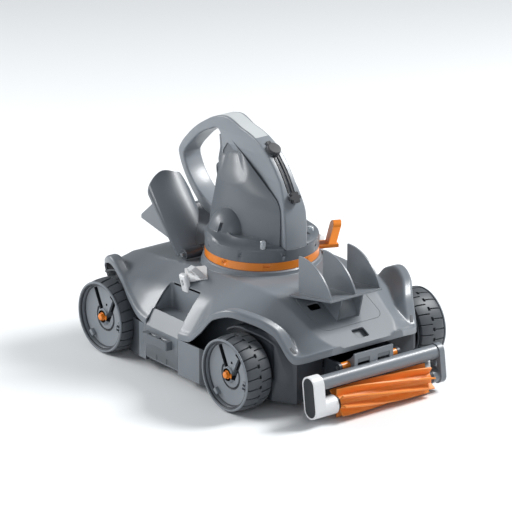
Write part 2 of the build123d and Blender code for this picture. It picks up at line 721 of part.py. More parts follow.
def anchor_stem():
    """The stem that plugs the anchor into the spine."""
    return Pos(0, 0, -2) * Cylinder(3, 8)


def make_charge_cap():
    cap = Pos(0, 0, 3.6) * Cylinder(10.5, 6)
    cap = fillet(cap.edges().group_by(Axis.Z)[-1], 2)
    tab = Pos(0, 11, 1.8) * Box(7, 10, 2.4)
    return on_spine(cap_y, cap_z, cap_lean) * (cap + tab)


def make_charge_socket():
    socket = Pos(0, 0, -6.5) * (Cylinder(7, 11) - Pos(0, 0, 2) * Cylinder(4.5, 11))
    pin = Pos(0, 0, -6.5) * Cylinder(1.2, 9)
    return on_spine(cap_y, cap_z, cap_lean) * (socket + pin)


def sail_section(z, front_y, front_half, middle_y, middle_half, rear_y, rear_half, inset):
    """One level of the head's tapering body; the sides are curved."""
    f, m, r = front_half - inset * 0.3, middle_half - inset, rear_half - inset
    y0, y1 = front_y + inset, rear_y - inset
    side = ThreePointArc((f, y0, z), (m, middle_y, z), (r, y1, z))
    other = ThreePointArc((-r, y1, z), (-m, middle_y, z), (-f, y0, z))
    return Wire([side, Line((r, y1, z), (-r, y1, z)), other, Line((-f, y0, z), (f, y0, z))])


def sail_body(inset):
    """The head's body before the spine is taken out of it."""
    levels = [
        (base_top_z + inset, -32.0, 24.0, 40.0, 51.0, 106.0, 47.0),
        (214.0, -32.0, 23.0, 44.0, 45.0, 107.0, 42.0),
        (240.0, -31.0, 22.0, 50.0, 41.0, 108.5, 34.5),
        (256.0, -22.0, 20.0, 56.0, 39.0, 110.0, 30.0),
        (272.0, 3.0, 19.5, 62.0, 36.0, 112.0, 25.0),
        (290.0, 34.0, 19.0, 76.0, 29.5, 114.0, 20.0),
        (306.0, 64.0, 17.0, 90.0, 22.0, 115.5, 17.0),
        (320.0 - inset, 92.0, 15.5, 104.0, 16.5, 117.0, 15.5),
    ]
    wires = [sail_section(*level, inset) for level in levels]
    return Part() + Solid.make_loft(wires, ruled=False)


# round shoulder that stands on the shelf beside each sail
shoulder_place = (47.0, 68.0)
shoulder_radius = 17.0
shoulder_height = 36.0
shoulder_rounding = 14.0


def make_sail():
    body = sail_body(0) - sail_body(sail_wall)
    body = body - (front_taper(frame_gap) & block(-60, 60, -80, 108.3, 150, 380))
    rear_room = block(-spine_rear_half - frame_gap, spine_rear_half + frame_gap, 108, 260, 150, 380)
    foot_room = block(-spine_foot_half - frame_gap, spine_foot_half + frame_gap, -80, 108, 150, 380)
    skirt = head_skirt(0) - head_skirt(sail_wall) - foot_room - sail_body(0)
    ear = rod_z(shoulder_radius, base_top_z + sail_wall, base_top_z + shoulder_height, *shoulder_place)
    ear = fillet(ear.edges().group_by(Axis.Z)[-1], shoulder_rounding)
    sail = (body + skirt - rear_room) & block(frame_gap, 100, -80, 130, base_top_z, 400)
    sail = sail + (ear - sail_body(0) - head_skirt(0))
    button_hole = rod_z(button_radius + 2 * running_fit, base_top_z - 1, base_top_z + 40, -button_place[0], button_place[1])
    sail = sail - button_hole
    return max(sail.solids(), key=lambda solid: solid.volume)


# radius and height above the base of the shelf round the head's foot
skirt_outline = [(0, 0), (ring_radius, 0), (82.3, 5), (80, 9), (76, 11.5), (71, 13.5), (67, 16.5), (64, 21), (62, 27), (0, 27)]


def head_skirt(inset):
    """The round shelf at the foot of the head, from the base's edge up to the sails."""
    outline = [(max(0, r - inset), base_top_z + max(0, z - inset)) for r, z in skirt_outline]
    return Pos(0, head_y, 0) * revolve(make_face(Polyline(*[(r, 0, z) for r, z in outline], close=True)), axis=Axis.Z)


battery_half = spine_foot_half - 0.5


def make_head_base():
    base = rod_z(ring_radius, base_z, base_top_z, 0, head_y)
    base = base + rod_z(spigot_radius, spigot_z, base_z, 0, head_y)
    base = base - rod_z(head_cavity_radius, spigot_z + 4, base_top_z + 1, 0, head_y)
    base = base - rod_z(3 + running_fit, spigot_z - 1, spigot_z + 5, 0, head_y)
    for turn in range(0, 360, 45):
        slot = Pos(0, head_y, base_z + 9) * Rot(0, 0, turn + 30) * Pos(ring_radius, 0, 0) * Box(2, 6, 2.5)
        base = base - slot
    for x, y in head_screw_places():
        base = base - rod_z(3, base_top_z - 2.5, base_top_z + 1, x, y) - rod_z(1.5, base_top_z - 12, base_top_z, x, y)
    return base - rod_z(button_radius + running_fit * 2, base_top_z - 7, base_top_z + 1, *button_place)


button_place = (-46.0, -22.0)
button_radius = 4.0
lens_place = (45.0, -16.0)
lens_radius = 5.0
lens_foot, lens_top = 8.0, 16.5     # above the top of the head's base


def head_screw_places():
    return [(70.6 * math.cos(math.radians(a)), head_y + 70.6 * math.sin(math.radians(a))) for a in (-20, 70, 110, 200)]


def make_head_screws():
    screws = []
    for x, y in head_screw_places():
        screw = rod_z(3, base_top_z - 2.5, base_top_z, x, y) + rod_z(1.5, base_top_z - 12, base_top_z - 2.5, x, y)
        screws.append(screw - block(x - 2.2, x + 2.2, y - 0.4, y + 0.4, base_top_z - 1, base_top_z + 1))
    return group(screws)


def make_motor_cover():
    return rod_z(head_cavity_radius - running_fit, base_top_z - 4, base_top_z, 0, head_y)


def make_battery_pack():
    pack = block(-battery_half, battery_half, 24, 84, base_top_z, 256)
    pack = fillet(pack.edges().filter_by(Axis.Z), 5)
    for z in (205, 239):
        pack = pack - (block(-30, 30, 20, 90, z, z + 1.5) - block(-battery_half + 1, battery_half - 1, 25, 83, z - 1, z + 3))
    return pack


def make_circuit_board():
    board = block(-16, 16, 19, 20.6, base_top_z + 8, 250)
    for x in (-12, 12):
        for z in (base_top_z + 12, 246):
            board = board + rod_y(2, 20.6, 24, x, z)
    board = board + block(-7, 7, 16.5, 19, 206, 220) + block(-11, -3, 15.5, 19, 228, 240)
    return board + block(3, 12, 16, 19, 226, 234)


def make_pump_motor():
    floor = spigot_z + 4
    motor = rod_z(22, floor, base_top_z - 12, 0, head_y) + rod_z(9, base_top_z - 12, base_top_z - 8, 0, head_y)
    for turn in range(0, 360, 60):
        vent = Pos(0, head_y, floor + 30) * Rot(0, 0, turn) * Pos(22, 0, 0) * Box(2, 5, 24)
        motor = motor - vent
    return motor - rod_z(3 + running_fit, floor - 1, floor + 15, 0, head_y)


def make_motor_shaft():
    return rod_z(3, impeller_z - 3, spigot_z + 4 + 14, 0, head_y)


impeller_z = 97.0
impeller_radius = 44.0


def make_impeller():
    wheel = rod_z(impeller_radius, impeller_z, impeller_z + 2.5, 0, head_y)
    wheel = wheel + rod_z(10, impeller_z, impeller_z + 17, 0, head_y)
    for turn in range(0, 360, 60):
        blade = Pos(0, head_y, impeller_z + 8) * Rot(0, 0, turn) * Pos(25, 8, 0) * Rot(0, 0, 18) * Box(34, 2.5, 12)
        wheel = wheel + blade
    return wheel - rod_z(3, impeller_z - 1, impeller_z + 20, 0, head_y)


def make_neck_seal():
    seal = rod_z(neck_hole_radius, collar_foot_z + 6, collar_foot_z + 12, 0, head_y)
    return seal - rod_z(spigot_radius + soft_gap, collar_foot_z, collar_foot_z + 20, 0, head_y)


def make_status_lens():
    lens = rod_z(lens_radius, base_top_z + lens_foot, base_top_z + lens_top, *lens_place)
    lens = fillet(lens.edges().group_by(Axis.Z)[-1], 2) - head_skirt(0)
    return max(lens.solids(), key=lambda solid: solid.center().Z)


def make_power_button():
    button = rod_z(button_radius, base_top_z - 4.5, base_top_z + 15.5, *button_place)
    return fillet(button.edges().group_by(Axis.Z)[-1], 2)


# ------------------------------------------------------------------ brush and its carrier
def link(x0, x1, low, high, radius):
    """A flat bar with round ends between two places in the YZ plane."""
    run = (high[0] - low[0], high[1] - low[1])
    length = math.hypot(*run)
    ny, nz = -run[1] / length * radius, run[0] / length * radius
    web = side_plate([(low[0] + ny, low[1] + nz), (high[0] + ny, high[1] + nz), (high[0] - ny, high[1] - nz),
                      (low[0] - ny, low[1] - nz)], x0, x1)
    return web + rod_x(radius, x0, x1, *low) + rod_x(radius, x0, x1, *high)


bar_end, brush_axis = (bar_y, bar_z), (brush_y, brush_z)
left_arm_x = left_arm_width - carrier_half_width
right_arm_x = carrier_half_width - right_arm_width
shaft_radius = 6.0
collar_length = 5.5
cap_depth = 3.5
plate_wall = 3.0


def make_brush_carrier():
    bar = rod_x(bar_radius, left_arm_x, right_arm_x, *bar_end)
    y0 = bar_y + 1.5
    plate = block(-nose_plate_half, nose_plate_half, y0, y0 + plate_wall, bar_z, nose_plate_top_z)
    windows = [block(x - 11, x + 11, y0 - 1, y0 + plate_wall + 1, 68, 78) for x in (-18, 18)]
    carrier = bar + plate
    for side in (-1, 1):
        x0, x1 = sorted((side * (nose_plate_half - 3), side * nose_plate_half))
        flange = side_plate([(y0 + 1, bar_z), (y0 + 1, nose_plate_top_z), (pin_y, pin_z + 7), (pin_y, pin_z - 7)], x0, x1)
        boss = rod_x(7, *sorted((side * (nose_plate_half - 9), side * nose_plate_half)), pin_y, pin_z)
        carrier = carrier + flange + boss
    bore = rod_x(pin_radius + running_fit, -nose_plate_half - 1, nose_plate_half + 1, pin_y, pin_z)
    return carrier - windows - bore


def make_left_arm():
    arm = link(-carrier_half_width, left_arm_x, brush_axis, bar_end, arm_radius)
    arm = arm + rod_x(arm_radius, left_arm_x, brush_left_x - collar_length - 0.5, *brush_axis)
    arm = arm - link(-carrier_half_width - 1, cap_depth - carrier_half_width, brush_axis, bar_end, arm_radius - 2.5)
    return arm - rod_x(shaft_radius + running_fit, left_arm_x, 0, *brush_axis)


def make_arm_cap():
    return link(-carrier_half_width, cap_depth - carrier_half_width, brush_axis, bar_end, arm_radius - 2.6)


def make_right_arm():
    arm = link(right_arm_x, carrier_half_width, brush_axis, bar_end, 12)
    window = side_plate([(bar_y - 5, bar_z - 13), (bar_y + 5, bar_z - 13), (brush_y + 4, brush_z + 13),
                         (brush_y - 2, brush_z + 13)], right_arm_x - 1, carrier_half_width + 1)
    arm = arm - window + rod_x(10, brush_right_x + collar_length + 0.5, right_arm_x, *brush_axis)
    return arm - rod_x(shaft_radius + running_fit, 0, right_arm_x, *brush_axis)


def make_brush_collars():
    bore = rod_x(shaft_radius + running_fit, -carrier_half_width, carrier_half_width, *brush_axis)
    left = rod_x(10.5, brush_left_x - collar_length - 0.5, brush_left_x - 0.5, *brush_axis) - bore
    right = rod_x(10.5, brush_right_x + 0.5, brush_right_x + collar_length + 0.5, *brush_axis) - bore
    return group([left, right])


def make_brush_core():
    core = rod_x(brush_core_radius, brush_left_x, brush_right_x, *brush_axis)
    return core + rod_x(shaft_radius, left_arm_x + 0.5, right_arm_x - 0.5, *brush_axis)


def make_brush_vanes():
    section = Circle(brush_core_radius + 2)
    for turn in range(vane_count):
        blade = Pos((brush_core_radius + brush_radius) / 2, 0) * Rectangle(brush_radius - brush_core_radius, 2.4)
        section = section + Rot(0, 0, 360 / vane_count * turn) * blade
    section = section & Circle(brush_radius)
    length = brush_right_x - brush_left_x
    vanes = Solid.extrude_linear_with_rotation(section.face(), center=(0, 0, 0), normal=(0, 0, length), angle=vane_twist)
    vanes = Pos(brush_left_x, *brush_axis) * Rot(0, 90, 0) * (Part() + vanes)
    return vanes - rod_x(brush_core_radius, brush_left_x - 1, brush_right_x + 1, *brush_axis)


def make_carrier_pins():
    inner = nose_plate_half - 8
    pins = [rod_x(pin_radius, *sorted((side * inner, side * (ear_inner_x + ear_wall + 1))), pin_y, pin_z)
            for side in (-1, 1)]
    return pins


def make_pin_bushes():
    bushes = []
    for side in (-1, 1):
        x0, x1 = sorted((side * (nose_plate_half + soft_gap), side * ear_inner_x))
        bushes.append(rod_x(5.5, x0, x1, pin_y, pin_z) - rod_x(pin_radius, x0, x1, pin_y, pin_z))
    return group(bushes)


# ------------------------------------------------------------------ tail deflector
tail_slope = Plane(origin=(0, tail_y, tail_z), x_dir=(1, 0, 0), z_dir=(0, 80, 102))
petal_middle_x = 48.0
petal_radius = 50.0
plate_half = 73.0


def petal_roll(radius):
    """The cylinder that a petal's sheet is rolled on."""
    return tail_slope * Pos(petal_middle_x, petal_radius, 70) * Cylinder(radius, 160)


def make_tail_petal():
    inner = tail_inner_x + 1
    edge = [(inner, 4), (tail_outer_x - 1, 4), (86, 60), (87, 104)]
    outline = Polyline(*[(x, 0, w) for x, w in edge])
    outline += Spline((87, 0, 104), (80, 0, 122), (62, 0, 131), (42, 0, 124), (27, 0, 96), tangents=[(0, 0, 1), (-4, 0, -20)])
    outline += Polyline((27, 0, 96), (26, 0, 60), (inner, 0, 18), (inner, 0, 4))
    leaf = extrude(make_face(outline), amount=70, dir=(0, 1, 0))
    leaf = tail_slope * Pos(0, -2, 0) * leaf
    sheet = petal_roll(petal_radius) - petal_roll(petal_radius - petal_wall)
    petal = (sheet & leaf) - rod_x(tail_tube_radius, 0, 200, tail_y, tail_z)
    return max(petal.solids(), key=lambda solid: solid.center().Z)


def make_tail_tubes():
    tube = rod_x(tail_tube_radius, tail_inner_x, tail_outer_x, tail_y, tail_z)
    tube = tube - rod_x(tail_rod_radius + running_fit, tail_inner_x - 1, tail_outer_x + 1, tail_y, tail_z)
    return group([tube, mirrored(tube)])


def make_tail_rods():
    rod = rod_x(tail_rod_radius, tail_inner_x - soft_gap - lug_wall, tail_outer_x + soft_gap + lug_wall, tail_y, tail_z)
    return [rod, mirrored(rod)]


def make_tail_plate():
    plate = side_plate([(tail_y + 4, 151), (235, 173.5), (235, 178.5), (231, 178.5), (230, 175.6), (tail_y + 4, 153.8)],
                       -plate_half, plate_half)
    plate = plate - block(-tail_inner_x, tail_inner_x, 100, tail_y + 14, 100, 200)
    tubes = rod_x(tail_tube_radius, -200, 200, tail_y, tail_z)
    plate = plate - block(-200, 200, tail_y - 20, tail_y, 100, 200)
    gusset = side_plate([(tail_y + 2, 153), (235, 176), (234, 180), (207, 203), (188, 210), (tail_y, 156)],
                        plate_half - 2.6, plate_half)
    gusset = gusset & petal_roll(petal_radius - petal_wall)
    petal = make_tail_petal()
    whole = (plate + [gusset, mirrored(gusset)]) - [tubes, petal, mirrored(petal)]
    return max(whole.solids(), key=lambda solid: solid.volume)


def main():
    os.makedirs("parts", exist_ok=True)
    nodes = {}
    nodes["upper_shell"] = make_upper_shell()
    nodes["hood_panel"] = make_hood_panel()
    nodes["fin_wing"] = make_fin_wing()
    nodes["lower_hull"] = make_lower_hull()
    nodes["hull_screws"] = make_hull_screws()
    nodes["filter_basket"] = make_filter_basket()
    nodes["wheel_axles"] = make_wheel_axles()
    nodes["inlet_flap_left"] = make_inlet_flap(-1)
    nodes["inlet_flap_right"] = make_inlet_flap(1)
    for place, axle_y in (("front", front_axle_y), ("rear", rear_axle_y)):
        for side in ("left", "right"):
            for kind, maker in (("tyre", tyre), ("wheel", wheel_disc), ("hub_cap", hub_cap)):
                piece = maker(axle_y)
                nodes[f"{kind}_{place}_{side}"] = piece if side == "right" else mirrored(piece)
    for side in ("left", "right"):
        for kind, maker in (("side_door", make_side_door), ("door_grip", make_door_grip), ("cleat", make_cleat)):
            piece = maker()
            nodes[f"{kind}_{side}"] = piece if side == "right" else mirrored(piece)
    nodes["neck_seal"] = make_neck_seal()
    nodes["hinge_pins"] = group([*make_door_rods(), *make_carrier_pins(), *make_tail_rods()])
    nodes["pin_bushes"] = make_pin_bushes()
    nodes["brush_carrier"] = make_brush_carrier()
    nodes["brush_arm_left"] = make_left_arm()
    nodes["brush_arm_cap"] = make_arm_cap()
    nodes["brush_arm_right"] = make_right_arm()
    nodes["brush_collars"] = make_brush_collars()
    nodes["brush_core"] = make_brush_core()
    nodes["brush_vanes"] = make_brush_vanes()
    nodes["tail_tubes"] = make_tail_tubes()
    nodes["tail_petal_right"] = make_tail_petal()
    nodes["tail_petal_left"] = mirrored(make_tail_petal())
    nodes["tail_plate"] = make_tail_plate()
    nodes["motor_cover"] = make_motor_cover()
    nodes["battery_pack"] = make_battery_pack()
    nodes["circuit_board"] = make_circuit_board()
    nodes["pump_motor"] = make_pump_motor()
    nodes["motor_shaft"] = make_motor_shaft()
    nodes["impeller"] = make_impeller()
    nodes["status_lens"] = make_status_lens()
    nodes["power_button"] = make_power_button()
    nodes["lock_ring"] = make_lock_ring()
    nodes["head_base"] = make_head_base()
    nodes["head_screws"] = make_head_screws()
    nodes["handle_frame"] = make_handle_frame()
    nodes["handle_insert"] = make_handle_insert()
    nodes["cap_strap"] = make_cap_strap()
    nodes["strap_anchor"] = make_strap_anchor()
    nodes["charge_cap"] = make_charge_cap()
    nodes["charge_socket"] = make_charge_socket()
    nodes["sail_right"] = make_sail()
    nodes["sail_left"] = mirrored(make_sail())
    for name, shape in nodes.items():
        save(name, shape)


main()
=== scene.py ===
# %% [markdown]
# # A cordless pool cleaner
# The real object is a machine of moulded plastic shells on four wheels, with a power head that lifts out of a
# round collar, a roller with soft helical vanes in front and a hinged deflector behind. The solid frame is loaded
# first and gives every position. Each visible piece is then given its final surface, either as a new mesh
# or as a smoothed copy of the frame's own solid where that already has the right shape.

# %% Load the frame and note its box
import json
import math

import bpy
import bmesh
from mathutils import Matrix, Vector


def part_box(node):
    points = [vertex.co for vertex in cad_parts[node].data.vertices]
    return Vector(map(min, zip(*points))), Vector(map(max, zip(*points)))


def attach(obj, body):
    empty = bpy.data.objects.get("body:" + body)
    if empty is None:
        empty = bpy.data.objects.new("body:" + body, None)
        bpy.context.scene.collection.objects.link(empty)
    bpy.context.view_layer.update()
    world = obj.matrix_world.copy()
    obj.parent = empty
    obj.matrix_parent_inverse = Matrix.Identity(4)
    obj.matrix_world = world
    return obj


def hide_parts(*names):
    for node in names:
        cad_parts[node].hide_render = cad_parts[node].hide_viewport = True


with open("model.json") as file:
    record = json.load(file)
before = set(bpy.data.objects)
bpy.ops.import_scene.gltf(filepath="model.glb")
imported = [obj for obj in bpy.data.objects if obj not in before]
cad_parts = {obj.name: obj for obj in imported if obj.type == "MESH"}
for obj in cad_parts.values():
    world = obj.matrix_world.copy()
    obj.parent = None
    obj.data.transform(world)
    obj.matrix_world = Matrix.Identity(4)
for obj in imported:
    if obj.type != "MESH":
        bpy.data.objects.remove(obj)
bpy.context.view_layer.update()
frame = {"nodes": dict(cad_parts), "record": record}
MM = 0.001

# %% [markdown]
# ## Camera, floor and light
# A long lens from far away keeps the parallel edges of the body nearly parallel, as a product picture does.
# The floor is a plain pale sheet. The key lamp hangs high on the right and a little in front, a weak one fills
# from the left, and a strip behind draws the bright edges of satin plastic.

# %% Camera
scene = bpy.context.scene
scene.view_settings.view_transform = "Standard"
look_at = Vector((0.0, 54 * MM, 149 * MM))
azimuth, elevation = math.radians(37.6), math.radians(19.6)
towards_camera = Vector((-math.sin(azimuth) * math.cos(elevation), -math.cos(azimuth) * math.cos(elevation),
                         math.sin(elevation)))
camera_data = bpy.data.cameras.new("camera")
camera_data.lens = 360
camera_data.sensor_width = 36
camera_data.clip_end = 50
camera = bpy.data.objects.new("camera", camera_data)
camera.location = look_at + towards_camera * (742.4 * MM * camera_data.lens / camera_data.sensor_width)
camera.rotation_euler = towards_camera.to_track_quat("Z", "Y").to_euler()
scene.collection.objects.link(camera)
scene.camera = camera
print("camera stands", round(camera.location.length, 2), "m away")

# %% Colour and node helpers


def linear(hex_value, alpha=1.0):
    """Turns an sRGB hex value into the linear colour that shaders work in."""
    channels = [int(hex_value[i:i + 2], 16) / 255 for i in (1, 3, 5)]
    return [c / 12.92 if c <= 0.04045 else ((c + 0.055) / 1.055) ** 2.4 for c in channels] + [alpha]


def add_node(tree, kind, settings=None, inputs=None, links=None):
    """Adds a node, sets its properties and sockets, and links its inputs to other nodes' outputs."""
    node = tree.nodes.new(kind)
    for key, value in (settings or {}).items():
        setattr(node, key, value)
    for key, value in (inputs or {}).items():
        node.inputs[key].default_value = value
    for key, (other, output) in (links or {}).items():
        tree.links.new(other.outputs[output], node.inputs[key])
    return node


# %% Floor and lamps
def make_floor():
    bm = bmesh.new()
    bmesh.ops.create_grid(bm, x_segments=1, y_segments=1, size=9)
    mesh = bpy.data.meshes.new("floor")
    bm.to_mesh(mesh)
    bm.free()
    floor = bpy.data.objects.new("floor", mesh)
    floor.location.z = -0.0002
    scene.collection.objects.link(floor)
    material = bpy.data.materials.new("white studio paper")
    material.use_nodes = True
    shader = material.node_tree.nodes["Principled BSDF"]
    shader.inputs["Base Color"].default_value = linear("#eef0f1")
    shader.inputs["Roughness"].default_value = 0.7
    mesh.materials.append(material)


def add_lamp(name, place, size, watts, tint):
    lamp = bpy.data.lights.new(name, "AREA")
    lamp.shape = "RECTANGLE"
    lamp.size, lamp.size_y = size
    lamp.energy = watts
    lamp.color = linear(tint)[:3]
    holder = bpy.data.objects.new(name, lamp)
    holder.location = place
    holder.rotation_euler = (Vector(place) - look_at).to_track_quat("Z", "Y").to_euler()
    scene.collection.objects.link(holder)


make_floor()
add_lamp("key_lamp", (1.5, -0.55, 1.75), (0.8, 0.7), 66, "#ffffff")
add_lamp("fill_lamp", (-1.9, -1.3, 0.8), (0.9, 1.2), 7, "#f2f6ff")
add_lamp("edge_lamp", (-1.3, 1.5, 1.2), (1.6, 0.4), 38, "#ffffff")
world = bpy.data.worlds.new("studio")
world.use_nodes = True
world.node_tree.nodes["Background"].inputs["Color"].default_value = linear("#dfe3e8")
world.node_tree.nodes["Background"].inputs["Strength"].default_value = 0.34
scene.world = world

# %% [markdown]
# ## Moulded plastics
# Almost everything here is injection moulded. The body is ABS with a satin, faintly pearly grey. Its mould was
# spark eroded, which leaves a fine even grain, and large walls show slow waves where the plastic shrank.
# One function makes such a plastic, because only the colour, gloss and grain differ. The Bevel node rounds
# the highlight on every edge, as a mould's edges are never knife sharp, and handled edges are rubbed paler.

# %% A moulded plastic


def moulded(name, colour, roughness, grain_mm=1.1, grain=0.05, edge_mm=0.7, wear=0.12, ior=1.53, sheen=0.0,
            coat=0.0, wave=0.04):
    material = bpy.data.materials.new(name)
    material.use_nodes = True
    tree = material.node_tree
    shader = tree.nodes["Principled BSDF"]
    shader.inputs["IOR"].default_value = ior
    shader.inputs["Coat Weight"].default_value = coat
    shader.inputs["Coat Roughness"].default_value = 0.12
    shader.inputs["Sheen Weight"].default_value = sheen
    place = add_node(tree, "ShaderNodeTexCoord")
    # slow changes of shade where the melt flowed, about 60 mm across
    flow = add_node(tree, "ShaderNodeTexNoise", inputs={"Scale": 1 / (60 * MM), "Detail": 3.0, "Roughness": 0.5},
                    links={"Vector": (place, "Object")})
    dark = [c * 0.93 for c in linear(colour)[:3]] + [1]
    light = [min(1, c * 1.06) for c in linear(colour)[:3]] + [1]
    shade = add_node(tree, "ShaderNodeMix", {"data_type": "RGBA"}, {6: dark, 7: light}, {0: (flow, "Fac")})
    # paler edges: the rounded normal differs from the true one only near an edge
    rounded = add_node(tree, "ShaderNodeBevel", {"samples": 4}, {"Radius": edge_mm * MM})
    facing = add_node(tree, "ShaderNodeNewGeometry")
    same = add_node(tree, "ShaderNodeVectorMath", {"operation": "DOT_PRODUCT"}, {},
                    {0: (rounded, "Normal"), 1: (facing, "Normal")})
    edge = add_node(tree, "ShaderNodeMapRange", {},
                    {"From Min": 0.995, "From Max": 0.86, "To Min": 0.0, "To Max": wear}, {"Value": (same, "Value")})
    rubbed = [min(1, c * 1.5 + 0.05) for c in linear(colour)[:3]] + [1]
    worn = add_node(tree, "ShaderNodeMix", {"data_type": "RGBA"}, {7: rubbed},
                    {0: (edge, "Result"), 6: (shade, 2)})
    tree.links.new(worn.outputs[2], shader.inputs["Base Color"])
    gloss = add_node(tree, "ShaderNodeMapRange", {}, {"To Min": roughness * 0.9, "To Max": roughness * 1.12},
                     {"Value": (flow, "Fac")})
    tree.links.new(gloss.outputs["Result"], shader.inputs["Roughness"])
    # the grain is drawn at about a millimetre, coarser than the real 0.2 mm, so that it can be seen
    fine = add_node(tree, "ShaderNodeTexNoise", inputs={"Scale": 1 / (grain_mm * MM), "Detail": 2.0},
                    links={"Vector": (place, "Object")})
    waves = add_node(tree, "ShaderNodeTexNoise", inputs={"Scale": 1 / (35 * MM), "Detail": 0.0},
                     links={"Vector": (place, "Object")})
    slow = add_node(tree, "ShaderNodeBump", inputs={"Strength": wave, "Distance": 2 * MM},
                    links={"Height": (waves, "Fac"), "Normal": (rounded, "Normal")})
    bump = add_node(tree, "ShaderNodeBump", inputs={"Strength": grain, "Distance": 0.4 * MM},
                    links={"Height": (fine, "Fac"), "Normal": (slow, "Normal")})
    tree.links.new(bump.outputs["Normal"], shader.inputs["Normal"])
    return material


finishes = {
    "body": moulded("satin grey ABS", "#747a80", 0.38, coat=0.08),
    "sail": moulded("satin mid grey ABS", "#5f656b", 0.4, coat=0.06),
    "spine": moulded("satin light grey ABS", "#80868c", 0.38, coat=0.08),
    "hull": moulded("dark grey ABS", "#3c4147", 0.42),
    "deep": moulded("near black ABS", "#26292d", 0.5),
    "pale": moulded("pale grey ABS", "#bcc1c2", 0.42),
    "white": moulded("white ABS", "#e2e3e4", 0.32, wear=0.0),
    "orange": moulded("orange ABS", "#e8831f", 0.34, wear=0.08, coat=0.1),
    "vane": moulded("soft orange TPE", "#ea8a2a", 0.48, grain=0.08, sheen=0.2, wear=0.06),
    "tread": moulded("dark grey TPE", "#464b50", 0.5, grain=0.1, sheen=0.1),
    "rim": moulded("satin grey wheel ABS", "#7a8086", 0.34, coat=0.15),
    "rubber": moulded("black rubber", "#24272b", 0.55, grain=0.12, sheen=0.15, wear=0.05),
    "board": moulded("green circuit board", "#1f5a34", 0.4),
    "cells": moulded("blue heat shrink sleeve", "#27345f", 0.3),
}
print("plastics made:", len(finishes))

# %% [markdown]
# Stainless steel screws and axles are the only bare metal, and the status light sits behind a clear
# moulded lens. The motor's can is plated steel, so the same metal serves it.

# %% Metal and clear plastic


def turned_steel():
    material = bpy.data.materials.new("turned stainless steel")
    material.use_nodes = True
    tree = material.node_tree
    shader = tree.nodes["Principled BSDF"]
    shader.inputs["Base Color"].default_value = linear("#b9bcbf")
    shader.inputs["Metallic"].default_value = 1.0
    place = add_node(tree, "ShaderNodeTexCoord")
    marks = add_node(tree, "ShaderNodeTexNoise", inputs={"Scale": 1 / (1.5 * MM), "Detail": 4.0},
                     links={"Vector": (place, "Object")})
    rough = add_node(tree, "ShaderNodeMapRange", {}, {"To Min": 0.22, "To Max": 0.42}, {"Value": (marks, "Fac")})
    tree.links.new(rough.outputs["Result"], shader.inputs["Roughness"])
    return material


def clear_plastic():
    material = bpy.data.materials.new("clear polycarbonate")
    material.use_nodes = True
    tree = material.node_tree
    shader = tree.nodes["Principled BSDF"]
    shader.inputs["Base Color"].default_value = linear("#dfe6ea")
    shader.inputs["IOR"].default_value = 1.58
    shader.inputs["Transmission Weight"].default_value = 0.55
    place = add_node(tree, "ShaderNodeTexCoord")
    haze = add_node(tree, "ShaderNodeTexNoise", inputs={"Scale": 1 / (4 * MM)}, links={"Vector": (place, "Object")})
    rough = add_node(tree, "ShaderNodeMapRange", {}, {"To Min": 0.08, "To Max": 0.2}, {"Value": (haze, "Fac")})
    tree.links.new(rough.outputs["Result"], shader.inputs["Roughness"])
    return material


finishes["steel"] = turned_steel()
finishes["clear"] = clear_plastic()

# %% [markdown]
# ## Helpers for pieces
# Shapes are drawn in millimetres and scaled once, when a piece is finished. A piece knows its body, so that it
# moves with it, and the frame solids that it takes the place of.

# %% Finish a piece


def shade_by_angle(mesh, degrees):
    """Smooth shading with hard edges only where faces meet at a clear angle."""
    for polygon in mesh.polygons:
        polygon.use_smooth = True
    mesh.set_sharp_from_angle(angle=math.radians(degrees))


def finish_piece(name, bm, body, materials, replaces=(), scale=MM, angle=32):
    """Turns a bmesh in millimetres into an object that rides on a body."""
    bmesh.ops.scale(bm, vec=(scale,) * 3, verts=bm.verts)
    mesh = bpy.data.meshes.new(name)
    bm.to_mesh(mesh)
    bm.free()
    for material in materials:
        mesh.materials.append(finishes[material])
    shade_by_angle(mesh, angle)
    piece = bpy.data.objects.new(name, mesh)
    scene.collection.objects.link(piece)
    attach(piece, body)
    for node in replaces:
        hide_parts(node)


body_of = {node: body for body, nodes in frame["record"]["behaviour"]["bodies"].items() for node in nodes}


def merged_copy(node):
    """A copy of a frame solid with its loose triangles joined up."""
    bm = bmesh.new()
    bm.from_mesh(frame["nodes"][node].data)
    bmesh.ops.remove_doubles(bm, verts=bm.verts, dist=0.004 * MM)
    bmesh.ops.dissolve_limit(bm, angle_limit=math.radians(0.5), verts=bm.verts, edges=bm.edges)
    return bm


def finish_copy(name, bm, node, materials):
    """Finishes a copy of a frame solid, which is in metres already and stands for that solid."""
    finish_piece(name, bm, body_of[node], materials, [node], scale=1.0, angle=28)


# %% [markdown]
# ## Cutting tools
# Slots and pockets are cut the way a designer subtracts a core from a moulding: a closed tool shape is taken away
# from a closed body with the exact solver, and the result goes back into the bmesh.

# %% Cutting helpers


def temporary(bm, name):
    mesh = bpy.data.meshes.new(name)
    bm.to_mesh(mesh)
    holder = bpy.data.objects.new(name, mesh)
    scene.collection.objects.link(holder)
    return holder


def carve(bm, tool, operation="DIFFERENCE"):
    """Cuts a closed tool out of a closed body; both are bmeshes, and the tool is used up."""
    body, cutter = temporary(bm, "body_blank"), temporary(tool, "tool_blank")
    modifier = body.modifiers.new("carve", "BOOLEAN")
    modifier.operation, modifier.solver, modifier.object = operation, "EXACT", cutter
    result = bpy.data.meshes.new_from_object(body.evaluated_get(bpy.context.evaluated_depsgraph_get()))
    bm.clear()
    bm.from_mesh(result)
    tool.free()
    for holder in (body, cutter):
        mesh = holder.data
        bpy.data.objects.remove(holder)
        bpy.data.meshes.remove(mesh)
    bpy.data.meshes.remove(result)


